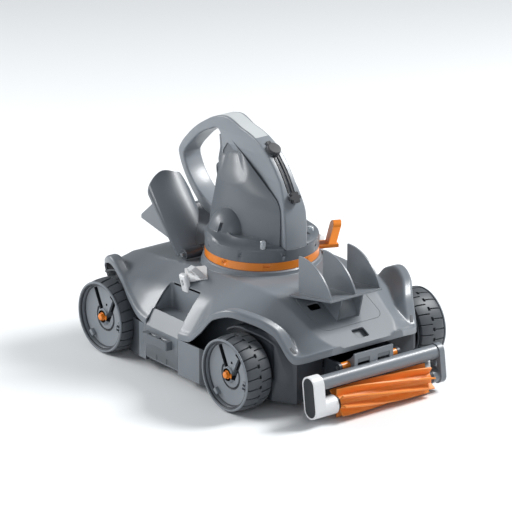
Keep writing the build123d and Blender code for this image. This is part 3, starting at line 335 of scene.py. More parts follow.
def block(low, high):
    """A closed box between two corners."""
    bm = bmesh.new()
    middle = (Vector(low) + Vector(high)) / 2
    size = Vector(high) - Vector(low)
    bmesh.ops.create_cube(bm, size=1, matrix=Matrix.Translation(middle) @ Matrix.Diagonal((*size, 1)))
    return bm


def turned(profile, steps=96, axis="X"):
    """Spins a closed outline of (distance along the axis, radius) points about X or Z."""
    bm = bmesh.new()
    if axis == "X":
        ring = [bm.verts.new((along, 0, radius)) for along, radius in profile]
    else:
        ring = [bm.verts.new((radius, 0, along)) for along, radius in profile]
    edges = [bm.edges.new(pair) for pair in zip(ring, ring[1:] + ring[:1])]
    direction = (1, 0, 0) if axis == "X" else (0, 0, 1)
    bmesh.ops.spin(bm, geom=ring + edges, cent=(0, 0, 0), axis=direction, angle=math.tau, steps=steps, use_merge=True)
    bmesh.ops.remove_doubles(bm, verts=bm.verts, dist=0.001)
    bmesh.ops.recalc_face_normals(bm, faces=bm.faces)
    return bm


def drum(radius, low, high, steps=48, axis="X"):
    """A closed cylinder along X or Z through the origin."""
    bm = bmesh.new()
    turn = Matrix.Rotation(math.pi / 2, 4, "Y") if axis == "X" else Matrix.Identity(4)
    shift = Matrix.Translation(((low + high) / 2, 0, 0) if axis == "X" else (0, 0, (low + high) / 2))
    bmesh.ops.create_cone(bm, cap_ends=True, segments=steps, radius1=radius, radius2=radius, depth=high - low,
                          matrix=shift @ turn)
    return bm


def prism(outline, low, high):
    """A closed prism along X from an outline of (y, z) points."""
    bm = bmesh.new()
    face = bm.faces.new([bm.verts.new((low, y, z)) for y, z in outline])
    top = bmesh.ops.extrude_face_region(bm, geom=[face])["geom"]
    bmesh.ops.translate(bm, vec=(high - low, 0, 0), verts=[v for v in top if isinstance(v, bmesh.types.BMVert)])
    bmesh.ops.recalc_face_normals(bm, faces=bm.faces)
    return bm


def moved(bm, place):
    bmesh.ops.transform(bm, matrix=place, verts=bm.verts)
    return bm


def round_edges(bm, edges, radius, segments):
    bmesh.ops.bevel(bm, geom=edges, offset=radius, segments=segments, profile=0.5, affect="EDGES", material=-1)


def join(bm, other):
    """Adds another bmesh's shape as a separate island."""
    mesh = bpy.data.meshes.new("join")
    other.to_mesh(mesh)
    other.free()
    bm.from_mesh(mesh)
    bpy.data.meshes.remove(mesh)
    return bm


def node_box(node):
    low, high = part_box(node)
    return low / MM, high / MM


def middle_y(node):
    low, high = node_box(node)
    return (low.y + high.y) / 2


# %% [markdown]
# ## Wheels
# Each wheel is a stiff disc clipped into a soft tread. The tread is a crowned band: 22 grooves run in from
# the outer edge and stop half way at a small square pocket, and 22 more run in from the other edge between them.
# Spinning a profile gives the band in narrow sectors, so a groove is a row of sectors pushed inwards.

# %% The tread
GROOVES = 22
SECTORS = 8                     # sectors to one groove's pitch
POCKET_LOW, POCKET_HIGH = -2.5, 1.5         # the pockets' place across the band
GROOVE_DEPTH, POCKET_DEPTH = 2.6, 5.5
AXLE_BORE = 6.2                 # radius of the hole in the disc
CAP_DEPTH = 5.8                 # how far the axle cap's foot lies inside the disc's face


def make_tread(width, radius):
    half = width / 2
    across = [-half + 1, -half + 2.5, -half + 7, -9, POCKET_LOW, POCKET_HIGH, 9, half - 9, half - 5.5, half - 3.5]
    heights = [radius - 5, radius - 2.6, radius - 1.2, radius - 0.3, radius, radius, radius - 0.4, radius - 1.2,
               radius - 2, radius - 3.4]
    profile = [(across[0], radius - 8)] + list(zip(across, heights)) + [(across[-1], radius - 8)]
    bm = turned(profile, GROOVES * SECTORS)
    outer, inner, pockets = [], [], []
    for face in bm.faces:
        middle = face.calc_center_median()
        if math.hypot(middle.y, middle.z) < radius - 6.5:
            continue
        sector = int(math.atan2(middle.y, middle.z) / math.tau * GROOVES * SECTORS) % SECTORS
        if middle.x > POCKET_HIGH and sector == 0:
            outer.append(face)
        elif middle.x < POCKET_LOW and sector == SECTORS // 2:
            inner.append(face)
        elif POCKET_LOW < middle.x < POCKET_HIGH and sector in (0, 1, SECTORS - 1):
            pockets.append(face)
    for faces, depth in ((outer, GROOVE_DEPTH), (inner, GROOVE_DEPTH), (pockets, POCKET_DEPTH)):
        bmesh.ops.inset_region(bm, faces=faces, thickness=0.25, depth=-depth, use_even_offset=True)
    for vertex in bm.verts:          # the grooves lean a little across the band
        lean = 0.0022 * (vertex.co.x - 10)
        vertex.co = Matrix.Rotation(lean, 3, "X") @ vertex.co
    return bm


# %% [markdown]
# The disc is a turned dish with a thin bright lip. Two long slots run down from the lip towards the hub, a
# groove curves round under the hub, and three clips hold the tread: a notch above, a boss at one side and
# a bracket low down. A small orange cap covers the axle. The dish's sloping inner wall is painted dark grey
# and the hollow behind the slots near black, both as painted shade.

# %% The disc


def slot_tool(start, end, width, low, high):
    """A straight slot between two (y, z) places."""
    run = Vector((end[0] - start[0], end[1] - start[1]))
    side = Vector((-run.y, run.x)).normalized() * width / 2
    a, b = Vector(start), Vector(end)
    return prism([(a + side)[:], (b + side)[:], (b - side)[:], (a - side)[:]], low, high)


def make_disc(width, radius):
    half = width / 2
    dish = half - 9                      # the dish's floor
    profile = [
        (-half + 1.5, AXLE_BORE), (dish + 3.4, AXLE_BORE), (dish + 3.4, 9.6), (dish + 2.4, 11.5), (dish, 12.5),
        (dish, 45), (dish + 1.4, 47.4), (half - 1.6, radius - 6.9), (half - 0.6, radius - 5.2), (half, radius - 3.8),
        (half - 0.5, radius - 2.4), (half - 2.4, radius - 2), (half - 3, radius - 4), (half - 3.4, radius - 8.2),
        (-half, radius - 8.2), (-half, radius - 11), (dish - 4, radius - 11), (dish - 4, 13), (-half + 1.5, 13),
    ]
    bm = turned(profile, 128)
    carve(bm, slot_tool((20.5, 39.5), (5.5, 10), 8.6, dish - 12, half + 5))
    carve(bm, slot_tool((-28.5, 35), (-9.5, -4.5), 8.6, dish - 12, half + 5))
    # the curved groove under the hub
    groove = turned([(dish - 1.8, 18.2), (dish + 3, 18.2), (dish + 3, 21.8), (dish - 1.8, 21.8)], 96)
    carve(groove, block((-half, -40, 12), (half, 40, 60)))
    carve(bm, moved(groove, Matrix.Translation((0, -4, 0))))
    carve(bm, moved(drum(2, dish - 6, dish + 4, 20), Matrix.Translation((0, -6.5, 19))))
    carve(bm, moved(block((dish - 6, -5, 0), (half - 3, 5, 8.5)),
                    Matrix.Rotation(math.radians(32), 4, "X") @ Matrix.Translation((0, 0, 36))))
    # boss with its rib at one side, bracket low on the other
    for turn, size in ((-98, (7, 8.5)), (142, (5, 6))):
        low, high = (dish - 1, -size[0], 0), (half - 3.2, size[0], size[1])
        clip = block(low, high)
        round_edges(clip, clip.edges, 0.8, 2)
        if turn < 0:
            carve(clip, block((dish + 2, -4.8, 1.8), (half, -0.8, 10)))
            carve(clip, block((dish + 2, 0.8, 1.8), (half, 4.8, 10)))
        join(bm, moved(clip, Matrix.Rotation(math.radians(-turn), 4, "X") @ Matrix.Translation((0, 0, radius - 18))))
    # a near-black web behind the slots, a sheet of painted shade seen through them
    join(bm, turned([(dish - 9, 13), (dish - 7, 13), (dish - 7, 44), (dish - 9, 44)], 64))
    for facet in bm.faces:
        middle = facet.calc_center_median()
        out_from_axle = math.hypot(middle.y, middle.z)
        # painted shade: the hollow behind the dish floor and in the slots is near black
        if middle.x < dish - 1 and out_from_axle < 44.5:
            facet.material_index = 1
        # painted shade: the dish's sloping inner wall, between floor and lip, is dark grey
        elif dish < middle.x < half - 1 and 45 < out_from_axle < radius - 6:
            facet.material_index = 2
    return bm


def make_cap():
    bm = bmesh.new()
    bmesh.ops.create_cone(bm, cap_ends=True, segments=6, radius1=5.5, radius2=5.3, depth=4.5,
                          matrix=Matrix.Translation((2.25, 0, 0)) @ Matrix.Rotation(math.pi / 2, 4, "Y"))
    round_edges(bm, bm.edges, 0.6, 3)
    return join(bm, drum(9.4, -1.2, 0.2))


for place in ("front", "rear"):
    for side in ("left", "right"):
        label = f"{place}_{side}"
        low, high = node_box(f"wheel_{label}")
        tyre_low, tyre_high = node_box(f"tyre_{label}")
        width, radius = high.x - low.x, (tyre_high.z - tyre_low.z) / 2
        centre = Vector(((low.x + high.x) / 2, (low.y + high.y) / 2, (low.z + high.z) / 2))
        handed = Matrix.Diagonal((1 if side == "right" else -1, 1, 1, 1))
        put = Matrix.Translation(centre) @ handed
        body = f"wheel_{label}"
        cap = moved(make_cap(), Matrix.Translation((width / 2 - CAP_DEPTH, 0, 0)))
        pieces = (
            (f"tread_{label}", make_tread(width, radius), "tyre_rubber", ["tread"], f"tyre_{label}"),
            # the disc's second finish is near-black painted shade behind the slots, its third dark grey painted shade
            # on the inner wall
            (f"disc_{label}", make_disc(width, radius), "wheel_grey", ["rim", "deep", "hull"], f"wheel_{label}"),
            (f"axle_cap_{label}", cap, "orange", ["orange"], f"hub_cap_{label}"),
        )
        for name, bm, slot, finish, node in pieces:
            moved(bm, put)
            if side == "left":
                bmesh.ops.reverse_faces(bm, faces=bm.faces)
            finish_piece(name, bm, body, finish, [node])
print("wheels are", round(width), "mm wide and", round(2 * radius), "mm across")

# %% [markdown]
# ## The upper shell
# The shell is one large moulding draped over the wheels: a flat deck, flanks that slope to the side pods,
# and a raised fender round each wheel arch with a crest band and a shallow valley inside it. A grid is laid flat,
# its rows are placed along the machine and its columns across it, and each point is lifted to a height
# that blends deck, flank, pod and fender. The blend radius is what makes the creases soft like the real moulding.

# %% Stations along the shell
front_axle, rear_axle = middle_y("tyre_front_right"), middle_y("tyre_rear_right")
nose_y, nose_z, hood_slope, pod_rim, pod_half = -205.0, 93.4, 0.505, 69.0, 168.0
RIM_ROUND = 5                   # radius of the shell's outer edge


def hood_z(y):
    return nose_z + hood_slope * (y - nose_y)


front_rise, rear_rise = 63.0, 63.0
# y, half width, rim height, crease between deck and flank, deck height, fall of the flank
stations = [
    (nose_y, 64, nose_z - 7, 50, nose_z, 0.05),
    (front_axle - 72, 110, 76, 67, hood_z(front_axle - 72), 0.60),
    (front_axle - 42, 127, pod_rim + 0.71 * front_rise, 72, hood_z(front_axle - 42), 0.60),
    (front_axle - 19, 143, pod_rim + 0.92 * front_rise, 76, hood_z(front_axle - 19), 0.60),
    (front_axle + 13, 157, pod_rim + front_rise, 80, hood_z(front_axle + 7), 0.60),
    (front_axle + 48, 164, pod_rim + 0.82 * front_rise, 85, 152, 0.60),
    (front_axle + 78, 167, pod_rim + 0.35 * front_rise, 88, 152.5, 0.60),
    (front_axle + 106, pod_half, pod_rim + 0.03 * front_rise, 88, 152, 0.62),
    (20, pod_half, pod_rim, 88, 151, 0.64),
    (96, pod_half, pod_rim, 90, 145, 0.60),
    (rear_axle - 78, pod_half - 1, pod_rim + 0.05 * rear_rise, 92, 143, 0.58),
    (rear_axle - 48, 163, pod_rim + 0.33 * rear_rise, 95, 141, 0.42),
    (rear_axle - 24, 160, pod_rim + 0.70 * rear_rise, 95, 139, 0.30),
    (rear_axle + 4, 159, pod_rim + rear_rise, 95, 137, 0.20),
    (rear_axle + 28, 151, pod_rim + 0.85 * rear_rise, 95, 132, 0.20),
    (rear_axle + 45, 134, pod_rim + 0.42 * rear_rise, 92, 122, 0.30),
    (rear_axle + 53, 124, pod_rim + 0.18 * rear_rise, 88, 94, 0.10),
]


def eased(rows, at, column):
    """Follows a column of a table smoothly, without overshooting between its rows."""
    at = min(max(at, rows[0][0]), rows[-1][0])
    k = next(i for i in range(len(rows) - 1) if at <= rows[i + 1][0])
    step = [rows[i + 1][0] - rows[i][0] for i in range(len(rows) - 1)]
    rise = [(rows[i + 1][column] - rows[i][column]) / step[i] for i in range(len(rows) - 1)]

    def tangent(i):
        if i == 0 or i == len(rows) - 1:
            return rise[0] if i == 0 else rise[-1]
        return 0.0 if rise[i - 1] * rise[i] <= 0 else 2 * rise[i - 1] * rise[i] / (rise[i - 1] + rise[i])

    t, h = (at - rows[k][0]) / step[k], step[k]
    return ((2 * t ** 3 - 3 * t ** 2 + 1) * rows[k][column] + (t ** 3 - 2 * t ** 2 + t) * h * tangent(k)
            + (3 * t ** 2 - 2 * t ** 3) * rows[k + 1][column] + (t ** 3 - t ** 2) * h * tangent(k + 1))


def ramp(distance, radius):
    """Zero, then rising at 45 degrees, with a rounded foot."""
    if distance <= -radius:
        return 0.0
    return distance if distance >= radius else (distance + radius) ** 2 / (4 * radius)


def higher(a, b, radius):
    return b + ramp(a - b, radius)


def shell_height(x, y):
    half, rim, crease, deck, fall = (eased(stations, y, column) for column in range(1, 6))
    flank = deck - fall * ramp(abs(x) - crease, 2.2)
    pod = rim + 6 + 1.3 * (half - abs(x))
    fender = rim + 11 - 1.2 * ramp(half - abs(x) - 16, 3)
    inner = -higher(-flank, -pod, 7)
    height = higher(inner, fender, 3.5)
    edge = RIM_ROUND - (half - abs(x))
    return height - (RIM_ROUND - math.sqrt(max(0.0, RIM_ROUND ** 2 - edge ** 2)) if edge > 0 else 0.0)


# %% Drape the grid
ROWS, COLUMNS, SHELL_WALL = 190, 132, 3.0
DECK_SHARE, FLANK_SHARE = 0.34, 0.66        # of the columns


def column_place(u, half, crease):
    """Columns crowd together near the rim, where the shape turns most."""
    share = abs(u)
    if share < DECK_SHARE:
        x = crease * share / DECK_SHARE
    else:
        t = (share - DECK_SHARE) / FLANK_SHARE
        x = crease + (half - crease) * (1 - (1 - t) ** 1.6)
    return math.copysign(x, u)


def drape(bm):
    for vertex in bm.verts:
        y = nose_y + (vertex.co.y + 1) / 2 * (stations[-1][0] - nose_y)
        half, crease = eased(stations, y, 1), eased(stations, y, 3)
        x = column_place(vertex.co.x, half, crease)
        vertex.co = (x, y, shell_height(x, y))


def make_shell():
    bm = bmesh.new()
    bmesh.ops.create_grid(bm, x_segments=COLUMNS, y_segments=ROWS, size=1)
    drape(bm)
    border = [edge for edge in bm.edges if edge.is_boundary]
    for share in (0.5, 1.0):
        grown = bmesh.ops.extrude_edge_only(bm, edges=border)["geom"]
        border = [item for item in grown if isinstance(item, bmesh.types.BMEdge) and item.is_boundary]
        for vertex in {v for edge in border for v in edge.verts}:
            rim = eased(stations, vertex.co.y, 2)
            vertex.co.z += (rim - vertex.co.z) * share
    bmesh.ops.recalc_face_normals(bm, faces=bm.faces)
    if sum(face.normal.z for face in bm.faces) < 0:
        bmesh.ops.reverse_faces(bm, faces=bm.faces)
    bmesh.ops.solidify(bm, geom=bm.faces[:], thickness=SHELL_WALL)
    return bm


# %% [markdown]
# The openings are cut next: the round neck for the power head, a finger pocket over each side door, the bay of
# the hood panel with its two water slots, and the small notch in the nose.

# %% Cut the openings
head_middle = Vector((0, middle_y("head_base"), 0))
collar_top = node_box("lock_ring")[0].z - 0.3
door_low, door_high = node_box("side_door_right")
tilt = math.atan(hood_slope)


def hood_plate(half, y0, y1, below, above, corner):
    """A rounded plate that lies in the hood's plane."""
    bm = bmesh.new()
    length = (y1 - y0) / math.cos(tilt)
    bmesh.ops.create_cube(bm, size=1, matrix=Matrix.Translation((0, 0, (above - below) / 2))
                          @ Matrix.Diagonal((2 * half, length, above + below, 1)))
    uprights = [edge for edge in bm.edges if abs((edge.verts[0].co - edge.verts[1].co).z) > 1]
    round_edges(bm, uprights, corner, 8)
    middle = (y0 + y1) / 2
    return moved(bm, Matrix.Translation((0, middle, hood_z(middle))) @ Matrix.Rotation(tilt, 4, "X"))


def rounded_block(low, high, corner):
    """A box with rounded upright edges."""
    bm = block(low, high)
    uprights = [edge for edge in bm.edges if abs((edge.verts[0].co - edge.verts[1].co).z) > 0.9 * (high[2] - low[2])]
    round_edges(bm, uprights, corner, 4)
    return bm


shell = make_shell()
print("draped shell has", len(shell.faces), "faces")
carve(shell, moved(drum(80, 100, 200, 96, "Z"), Matrix.Translation(head_middle)))
carve(shell, hood_plate(56, -172, -103, 14, 30, 14))
carve(shell, hood_plate(11, nose_y + 9, nose_y + 25, 8, 30, 2.5))
join(shell, hood_plate(13, nose_y + 6, nose_y + 28, 9, -6.5, 2.5))
for side in (1, -1):
    handed = Matrix.Diagonal((side, 1, 1, 1))
    pocket = moved(rounded_block((122, door_low.y + 2, 80), (175, door_high.y - 2, 190), 5), handed)
    door_room = moved(block((146, door_low.y - 0.5, 40), (175, door_high.y + 0.5, door_high.z + 0.5)), handed)
    for tool in (pocket, door_room):
        bmesh.ops.recalc_face_normals(tool, faces=tool.faces)
        carve(shell, tool)
    # the pocket's own walls and floor, open above and towards the door
    tray = rounded_block((119.5, door_low.y - 0.5, 84), (150, door_high.y + 0.5, 150), 5)
    carve(tray, rounded_block((122, door_low.y + 2, 86.5), (160, door_high.y - 2, 160), 4))
    for vertex in tray.verts:
        vertex.co.z = min(vertex.co.z, shell_height(vertex.co.x, vertex.co.y) - 0.8)
    moved(tray, handed)
    bmesh.ops.recalc_face_normals(tray, faces=tray.faces)
    join(shell, tray)
# the raised collar round the neck, with a soft fillet at its foot
collar = turned([(120, 70.5), (collar_top - 0.8, 70.5), (collar_top, 71.3), (collar_top, 84.2), (collar_top - 1.6, 86),
                 (collar_top - 5, 86.4), (collar_top - 8, 88.5), (120, 89)], 128, "Z")
join(shell, moved(collar, Matrix.Translation(head_middle)))
finish_piece("deck_shell", shell, "chassis", ["body"], ["upper_shell"], angle=38)
print("shell finished; collar top at", round(collar_top, 1), "mm")

# %% [markdown]
# ## The handle frame
# One frame runs from the foot in front of the head, over the top and back down as a carrying loop. It is drawn as
# a flat outline with two holes, the hand's and the one that the battery stands in, and given thickness with
# a rounded edge, which is exactly what a filled curve with a bevel does. Its front is broad at the foot.

# %% Draw and thicken the outline


def filled_outline(name, loops, half_thickness, edge):
    """A flat plate across X from smooth closed outlines in (y, z), with rounded edges."""
    curve = bpy.data.curves.new(name, "CURVE")
    curve.dimensions, curve.fill_mode = "2D", "BOTH"
    curve.extrude, curve.bevel_depth, curve.bevel_resolution = half_thickness - edge, edge, 3
    curve.offset = -edge
    curve.resolution_u = 6
    for smooth, points in loops:
        spline = curve.splines.new("BEZIER")
        spline.bezier_points.add(len(points) - 1)
        spline.use_cyclic_u = True
        for knot, (y, z) in zip(spline.bezier_points, points):
            knot.co = (y, z, 0)
            knot.handle_left_type = knot.handle_right_type = "AUTO" if smooth(y, z) else "VECTOR"
    holder = bpy.data.objects.new(name, curve)
    scene.collection.objects.link(holder)
    mesh = bpy.data.meshes.new_from_object(holder.evaluated_get(bpy.context.evaluated_depsgraph_get()))
    bm = bmesh.new()
    bm.from_mesh(mesh)
    bpy.data.objects.remove(holder)
    bpy.data.curves.remove(curve)
    bpy.data.meshes.remove(mesh)
    bmesh.ops.remove_doubles(bm, verts=bm.verts, dist=0.01)
    # local (x, y, z) of the curve is the machine's (y, z, x)
    moved(bm, Matrix(((0, 0, 1, 0), (1, 0, 0, 0), (0, 1, 0, 0), (0, 0, 0, 1))))
    return bm


base_top = node_box("head_base")[1].z
frame_top = node_box("handle_frame")[1].z
frame_outline = [
    (124, base_top), (142, 190), (162, 197), (182, 212), (204, 236), (218.6, 262), (220.6, 272), (216.6, 281),
    (199, 301), (180, 317.6), (157, 332.6), (134, 344.6), (118, 349.6), (104, frame_top - 0.5), (90, 348.8),
    (76, 344), (50, 338), (27, 329), (12, 319), (-2, 306), (-13, 293), (-22, 280), (-32, 261), (-38, 243),
    (-41, 215), (-41.4, base_top),
]
hand_outline = [
    (126, 206), (144, 209), (166, 219), (186, 234), (202, 256), (206, 270), (202, 277), (188, 292), (164, 312),
    (144, 322), (126, 328), (119, 322), (118, 236),
]
bay_outline = [
    (-20, base_top - 6), (-20, 238), (-4, 256), (16, 270), (50, 289), (84, 307), (104, 315), (104, base_top - 6),
]
BLANK_HALF = 18                 # half the frame's width before frame_half shapes it
handle = filled_outline("handle_blank", [(lambda y, z: z > base_top + 3, frame_outline),
                                         (lambda y, z: True, hand_outline),
                                         (lambda y, z: z > base_top, bay_outline)], BLANK_HALF, 3.2)


def smooth_step(value, start, length):
    """Goes from 0 to 1 over a length, with level ends."""
    share = min(1, max(0, (value - start) / length))
    return share * share * (3 - 2 * share)


FOOT_HALF, TOP_HALF, LOOP_HALF = 20.5, 14, 16


def frame_half(y, z):
    """Half the frame's width: broad at the front foot, narrow at the top and in the loop."""
    front = FOOT_HALF - (FOOT_HALF - TOP_HALF) * min(1, max(0, (z - 240) / 42))
    return front + (LOOP_HALF - front) * smooth_step(y, 70, 40)


for vertex in handle.verts:
    vertex.co.x *= frame_half(vertex.co.y, vertex.co.z) / BLANK_HALF
    vertex.co.z = max(vertex.co.z, base_top)


def along_outline(points, outer, inner, half):
    """A band that follows part of the frame's edge, from outside it to some way in."""
    rims = []
    for depth in (-outer, inner):
        row = []
        for k, (y, z) in enumerate(points):
            before, after = points[max(k - 1, 0)], points[min(k + 1, len(points) - 1)]
            run = Vector((after[0] - before[0], after[1] - before[1])).normalized()
            row.append((y - run.y * depth, z + run.x * depth))
        rims.append(row)
    return prism(rims[0] + rims[1][::-1], -half, half)


# the pale pad let into the top, with a fine joint line round it
pad_line = [
    (190, 309), (180, 318), (157, 333), (134, 345), (118, 350), (104, 352), (90, 349), (76, 344), (50, 338), (40, 334),
]
PAD_DEPTH, PAD_HALF, JOINT_UNDER, JOINT_SIDE = 3.2, 11.3, 0.2, 0.6
pad = handle.copy()
carve(pad, along_outline(pad_line, 6, PAD_DEPTH, PAD_HALF), "INTERSECT")
carve(handle, along_outline(pad_line, 7, PAD_DEPTH + JOINT_UNDER, PAD_HALF + JOINT_SIDE))
finish_piece("grip_pad", pad, "head", ["pale"], ["handle_insert"], angle=50)
# the channel that the cap's strap lies in
CHANNEL_DEPTH, CHANNEL_HALF = 2.4, 6.6
carve(handle, along_outline([(8, 316), (-2, 306), (-13, 293), (-22, 280), (-31, 263)], 6, CHANNEL_DEPTH, CHANNEL_HALF))
finish_piece("handle_loop", handle, "head", ["spine"], ["handle_frame"], angle=50)

# %% [markdown]
# ## The side sails
# Two thin shells close the head on either side of the frame. Each flares out at its foot to meet the round
# base, stands nearly straight and ends in a dished facet under the handle. Its grid follows the curved crease
# between wall and facet, so that the crease stays crisp.

# %% Sail surface
sail_levels = [  # height, then y and half width at the front, the middle and the rear
    (base_top, -32, 24, 40, 51, 106, 47), (214, -32, 23, 44, 45, 107, 42), (240, -31, 22, 50, 41, 108.5, 34.5),
    (256, -22, 20, 56, 39, 110, 30), (272, 3, 19.5, 62, 36, 112, 25), (290, 34, 19, 76, 29.5, 114, 20),
    (306, 64, 17, 90, 22, 115.5, 17), (320, 92, 15.5, 104, 16.5, 117, 15.5),
]
FACET_LEAN, FACET_HALF = 0.24, 14.8         # inwards for each unit of height, and where it stops
# place from the front edge (0) to the rear edge (1), and height
crease_line = [(0.0, 297), (0.15, 285), (0.3, 275), (0.5, 267), (0.7, 262), (0.85, 262), (1.0, 266)]


def sail_point(t, z):
    """A place on the sail: t runs from the front edge (0) to the rear edge (1)."""
    fy, fx, my, mx, ry, rx = (eased(sail_levels, z, column) for column in range(1, 7))
    bend = (my - fy) / (ry - fy)
    y = fy + (ry - fy) * t
    # the curve through the three places, so the wall bulges evenly
    x = (fx * (t - bend) * (t - 1) / bend + mx * t * (t - 1) / (bend * (bend - 1)) + rx * t * (t - bend) / (1 - bend))
    over = z - eased(crease_line, t, 1)
    if over > 0:
        x = max(x - FACET_LEAN * over * min(1, t / 0.3) * min(1, 0.35 + (1 - t) / 0.15), FACET_HALF)
    return x, y


SAIL_WALL = 2.4
BACK_HALF, BACK_DEPTH = 18.4, 6             # of the strip that closes the back


def make_sail():
    bm = bmesh.new()
    across, low_rows, high_rows = 44, 40, 26
    bmesh.ops.create_grid(bm, x_segments=across, y_segments=low_rows + high_rows, size=1)
    top = sail_levels[-1][0]
    for vertex in bm.verts:
        t, row = (vertex.co.x + 1) / 2, round((vertex.co.y + 1) / 2 * (low_rows + high_rows))
        crease = min(eased(crease_line, t, 1), top - 2)
        if row <= low_rows:
            z = base_top + (crease - base_top) * row / low_rows
        else:
            z = crease + (top - crease) * (row - low_rows) / high_rows
        x, y = sail_point(t, z)
        vertex.co = (x, y, z)
    # the rear edge turns in to close the back
    rear = [edge for edge in bm.edges if edge.is_boundary and all(v.co.y > eased(sail_levels, v.co.z, 5) - 0.01
                                                                   for v in edge.verts)]
    grown = bmesh.ops.extrude_edge_only(bm, edges=rear)["geom"]
    for vertex in [item for item in grown if isinstance(item, bmesh.types.BMVert)]:
        vertex.co.x, vertex.co.y = min(vertex.co.x - 1, BACK_HALF), vertex.co.y + BACK_DEPTH
    bmesh.ops.recalc_face_normals(bm, faces=bm.faces)
    if sum(face.normal.x for face in bm.faces) < 0:
        bmesh.ops.reverse_faces(bm, faces=bm.faces)
    bmesh.ops.solidify(bm, geom=bm.faces[:], thickness=SAIL_WALL)
    return bm


# radius and height above the base
shelf_profile = [(83, 0), (82.3, 5), (80, 9), (76, 11.5), (71, 13.5), (67, 16.5), (64, 21), (62, 27), (44, 27), (44, 0)]
SHELF_FRONT = 0.42              # the shelf's height at the front, as a share of that at the back
SPINE_HALF = 20.9               # the shelf ends here, against the frame
EAR_MIDDLE, EAR_RADII, EAR_SLOT = (40, 62, base_top + 4), (31, 35, 38), (66, 52, base_top + 17)
for side in ("left", "right"):
    sail = make_sail()
    # the round shelf at the sail's foot
    shelf = turned([(base_top + h, r) for r, h in shelf_profile], 144, "Z")
    for vertex in shelf.verts:       # it sinks towards the front
        share = SHELF_FRONT + (1 - SHELF_FRONT) * smooth_step(vertex.co.y, -12, 34)
        vertex.co.z = base_top + (vertex.co.z - base_top) * share
    moved(shelf, Matrix.Translation(head_middle))
    carve(shelf, block((-100, -80, 100), (SPINE_HALF, 200, 300)))
    join(sail, shelf)
    # a round shoulder with an upright slot stands on the shelf
    ear = bmesh.new()
    bmesh.ops.create_uvsphere(ear, u_segments=48, v_segments=32, radius=1,
                              matrix=Matrix.Translation(EAR_MIDDLE) @ Matrix.Diagonal((*EAR_RADII, 1)))
    bmesh.ops.bisect_plane(ear, geom=ear.verts[:] + ear.edges[:] + ear.faces[:], plane_co=(0, 0, base_top + 0.3),
                           plane_no=(0, 0, -1), clear_outer=True)
    bmesh.ops.holes_fill(ear, edges=[edge for edge in ear.edges if edge.is_boundary])
    carve(ear, moved(rounded_block((-8, -2.6, -9), (20, 2.6, 9), 2), Matrix.Translation(EAR_SLOT)))
    join(sail, ear)
    if side == "left":
        moved(sail, Matrix.Diagonal((-1, 1, 1, 1)))
        bmesh.ops.reverse_faces(sail, faces=sail.faces)
    finish_piece(f"sail_shell_{side}", sail, "head", ["sail"], [f"sail_{side}"], angle=24)
print("sails finished")

# %% [markdown]
# ## Pieces whose solid already has the right shape
# These are plain mouldings, so a smoothed copy in its own plastic is all they need.

# %% Dress the plain mouldings
plain = {
    "hood_panel": "body", "fin_wing": "body", "filter_basket": "deep",
    "hull_screws": "steel", "wheel_axles": "steel",
    "hinge_pins": "steel", "neck_seal": "rubber", "pin_bushes": "orange",
    "head_base": "sail", "head_screws": "steel",
    "cap_strap": "rubber", "strap_anchor": "rubber", "charge_socket": "deep",
    "status_lens": "clear", "motor_cover": "deep", "battery_pack": "cells",
    "circuit_board": "board", "pump_motor": "steel", "charge_cap": "rubber", "power_button": "clear",
    "motor_shaft": "steel", "impeller": "deep", "brush_carrier": "body", "brush_arm_left": "white",
    "brush_arm_cap": "deep", "brush_arm_right": "body", "brush_collars": "rubber", "brush_core": "white",
    "brush_vanes": "vane", "tail_tubes": "hull", "tail_petal_left": "sail", "tail_petal_right": "sail",
    "tail_plate": "body", "inlet_flap_left": "hull", "inlet_flap_right": "hull", "side_door_left": "body",
    "side_door_right": "body", "door_grip_left": "sail", "door_grip_right": "sail",
}
for node, material in plain.items():
    finish_copy(node + "_finished", merged_copy(node), node, [material])
# the hull is dark, but its pods beside the doors are coloured like the shell
hull = merged_copy("lower_hull")
pod_inside, pod_front, pod_rear = (door_low.x - 20) * MM, (door_low.y - 45) * MM, (door_high.y + 30) * MM
for face in hull.faces:
    middle = face.calc_center_median()
    beside = abs(middle.x) > pod_inside and pod_front < middle.y < pod_rear
    face.material_index = int(beside and abs(face.normal.x) > 0.5 and middle.x * face.normal.x > 0)
finish_copy("hull_body", hull, "lower_hull", ["hull", "body"])
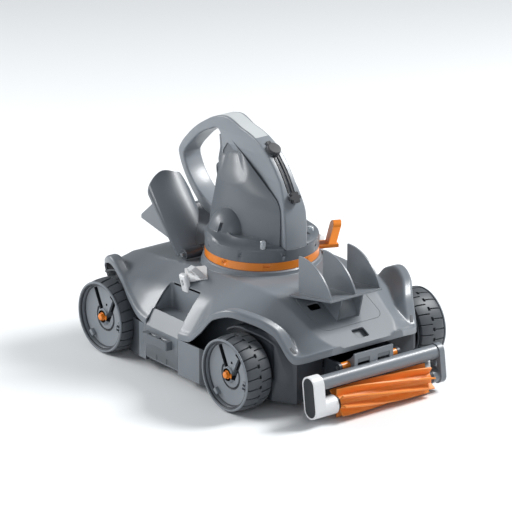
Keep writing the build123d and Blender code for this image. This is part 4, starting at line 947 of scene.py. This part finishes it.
# the lock ring's lever leans outwards
LEVER_LEAN = 0.28               # outwards for each unit of height
LEVER_REACH = 92 * MM           # only the lever is this far from the ring's middle
ring = merged_copy("lock_ring")
ring_foot = (node_box("lock_ring")[0].z + 9) * MM
for vertex in ring.verts:
    arm = Vector((vertex.co.x, vertex.co.y - head_middle.y * MM, 0))
    if arm.length > LEVER_REACH and vertex.co.z > ring_foot:
        vertex.co += arm.normalized() * LEVER_LEAN * (vertex.co.z - ring_foot)
finish_copy("lock_ring_finished", ring, "lock_ring", ["orange"])
# the cord cleats: a plate on the shell with a broad hook that stands up from it
CLEAT_SCALE = (1.55, 1.3, 1.05)
PRONG_TOP = 19                  # above the shell
PRONG_X = 121                   # the prong stands this far from the middle of the machine
PRONG_LEAN = math.radians(14)
for side in ("left", "right"):
    low, high = node_box(f"cleat_{side}")
    foot = Vector(((low.x + high.x) / 2, (low.y + high.y) / 2, low.z + 3))
    cleat = merged_copy(f"cleat_{side}")
    moved(cleat, Matrix.Scale(1 / MM, 4))
    moved(cleat, Matrix.Translation(foot) @ Matrix.Diagonal((*CLEAT_SCALE, 1)) @ Matrix.Translation(-foot))
    # the prong at its outer end, with a slot for the cord
    out = 1 if side == "right" else -1
    prong = rounded_block((-4.5, -8, -8), (4.5, 8, PRONG_TOP), 3.5)
    top_edges = [edge for edge in prong.edges if all(vertex.co.z > PRONG_TOP - 1 for vertex in edge.verts)]
    round_edges(prong, top_edges, 3, 4)
    carve(prong, block((-8, -2.4, 2), (8, 2.4, 11)))
    spot = Vector((out * PRONG_X, foot.y, shell_height(PRONG_X, foot.y)))
    join(cleat, moved(prong, Matrix.Translation(spot) @ Matrix.Rotation(out * PRONG_LEAN, 4, "Y")))
    for vertex in cleat.verts:
        vertex.co *= MM
    finish_copy(f"cleat_hook_{side}", cleat, f"cleat_{side}", ["white"])
# the two recesses of the nose plate are closed behind
BACKING_HALF = 33
plate_low, plate_high = node_box("brush_carrier")
backing = block((-BACKING_HALF, plate_low.y + 12.5, plate_high.z - 14),
                (BACKING_HALF, plate_low.y + 13.6, plate_high.z - 0.6))
finish_piece("nose_plate_backing", backing, "brush_carrier", ["sail"])
print("dressed", len(plain), "solids")
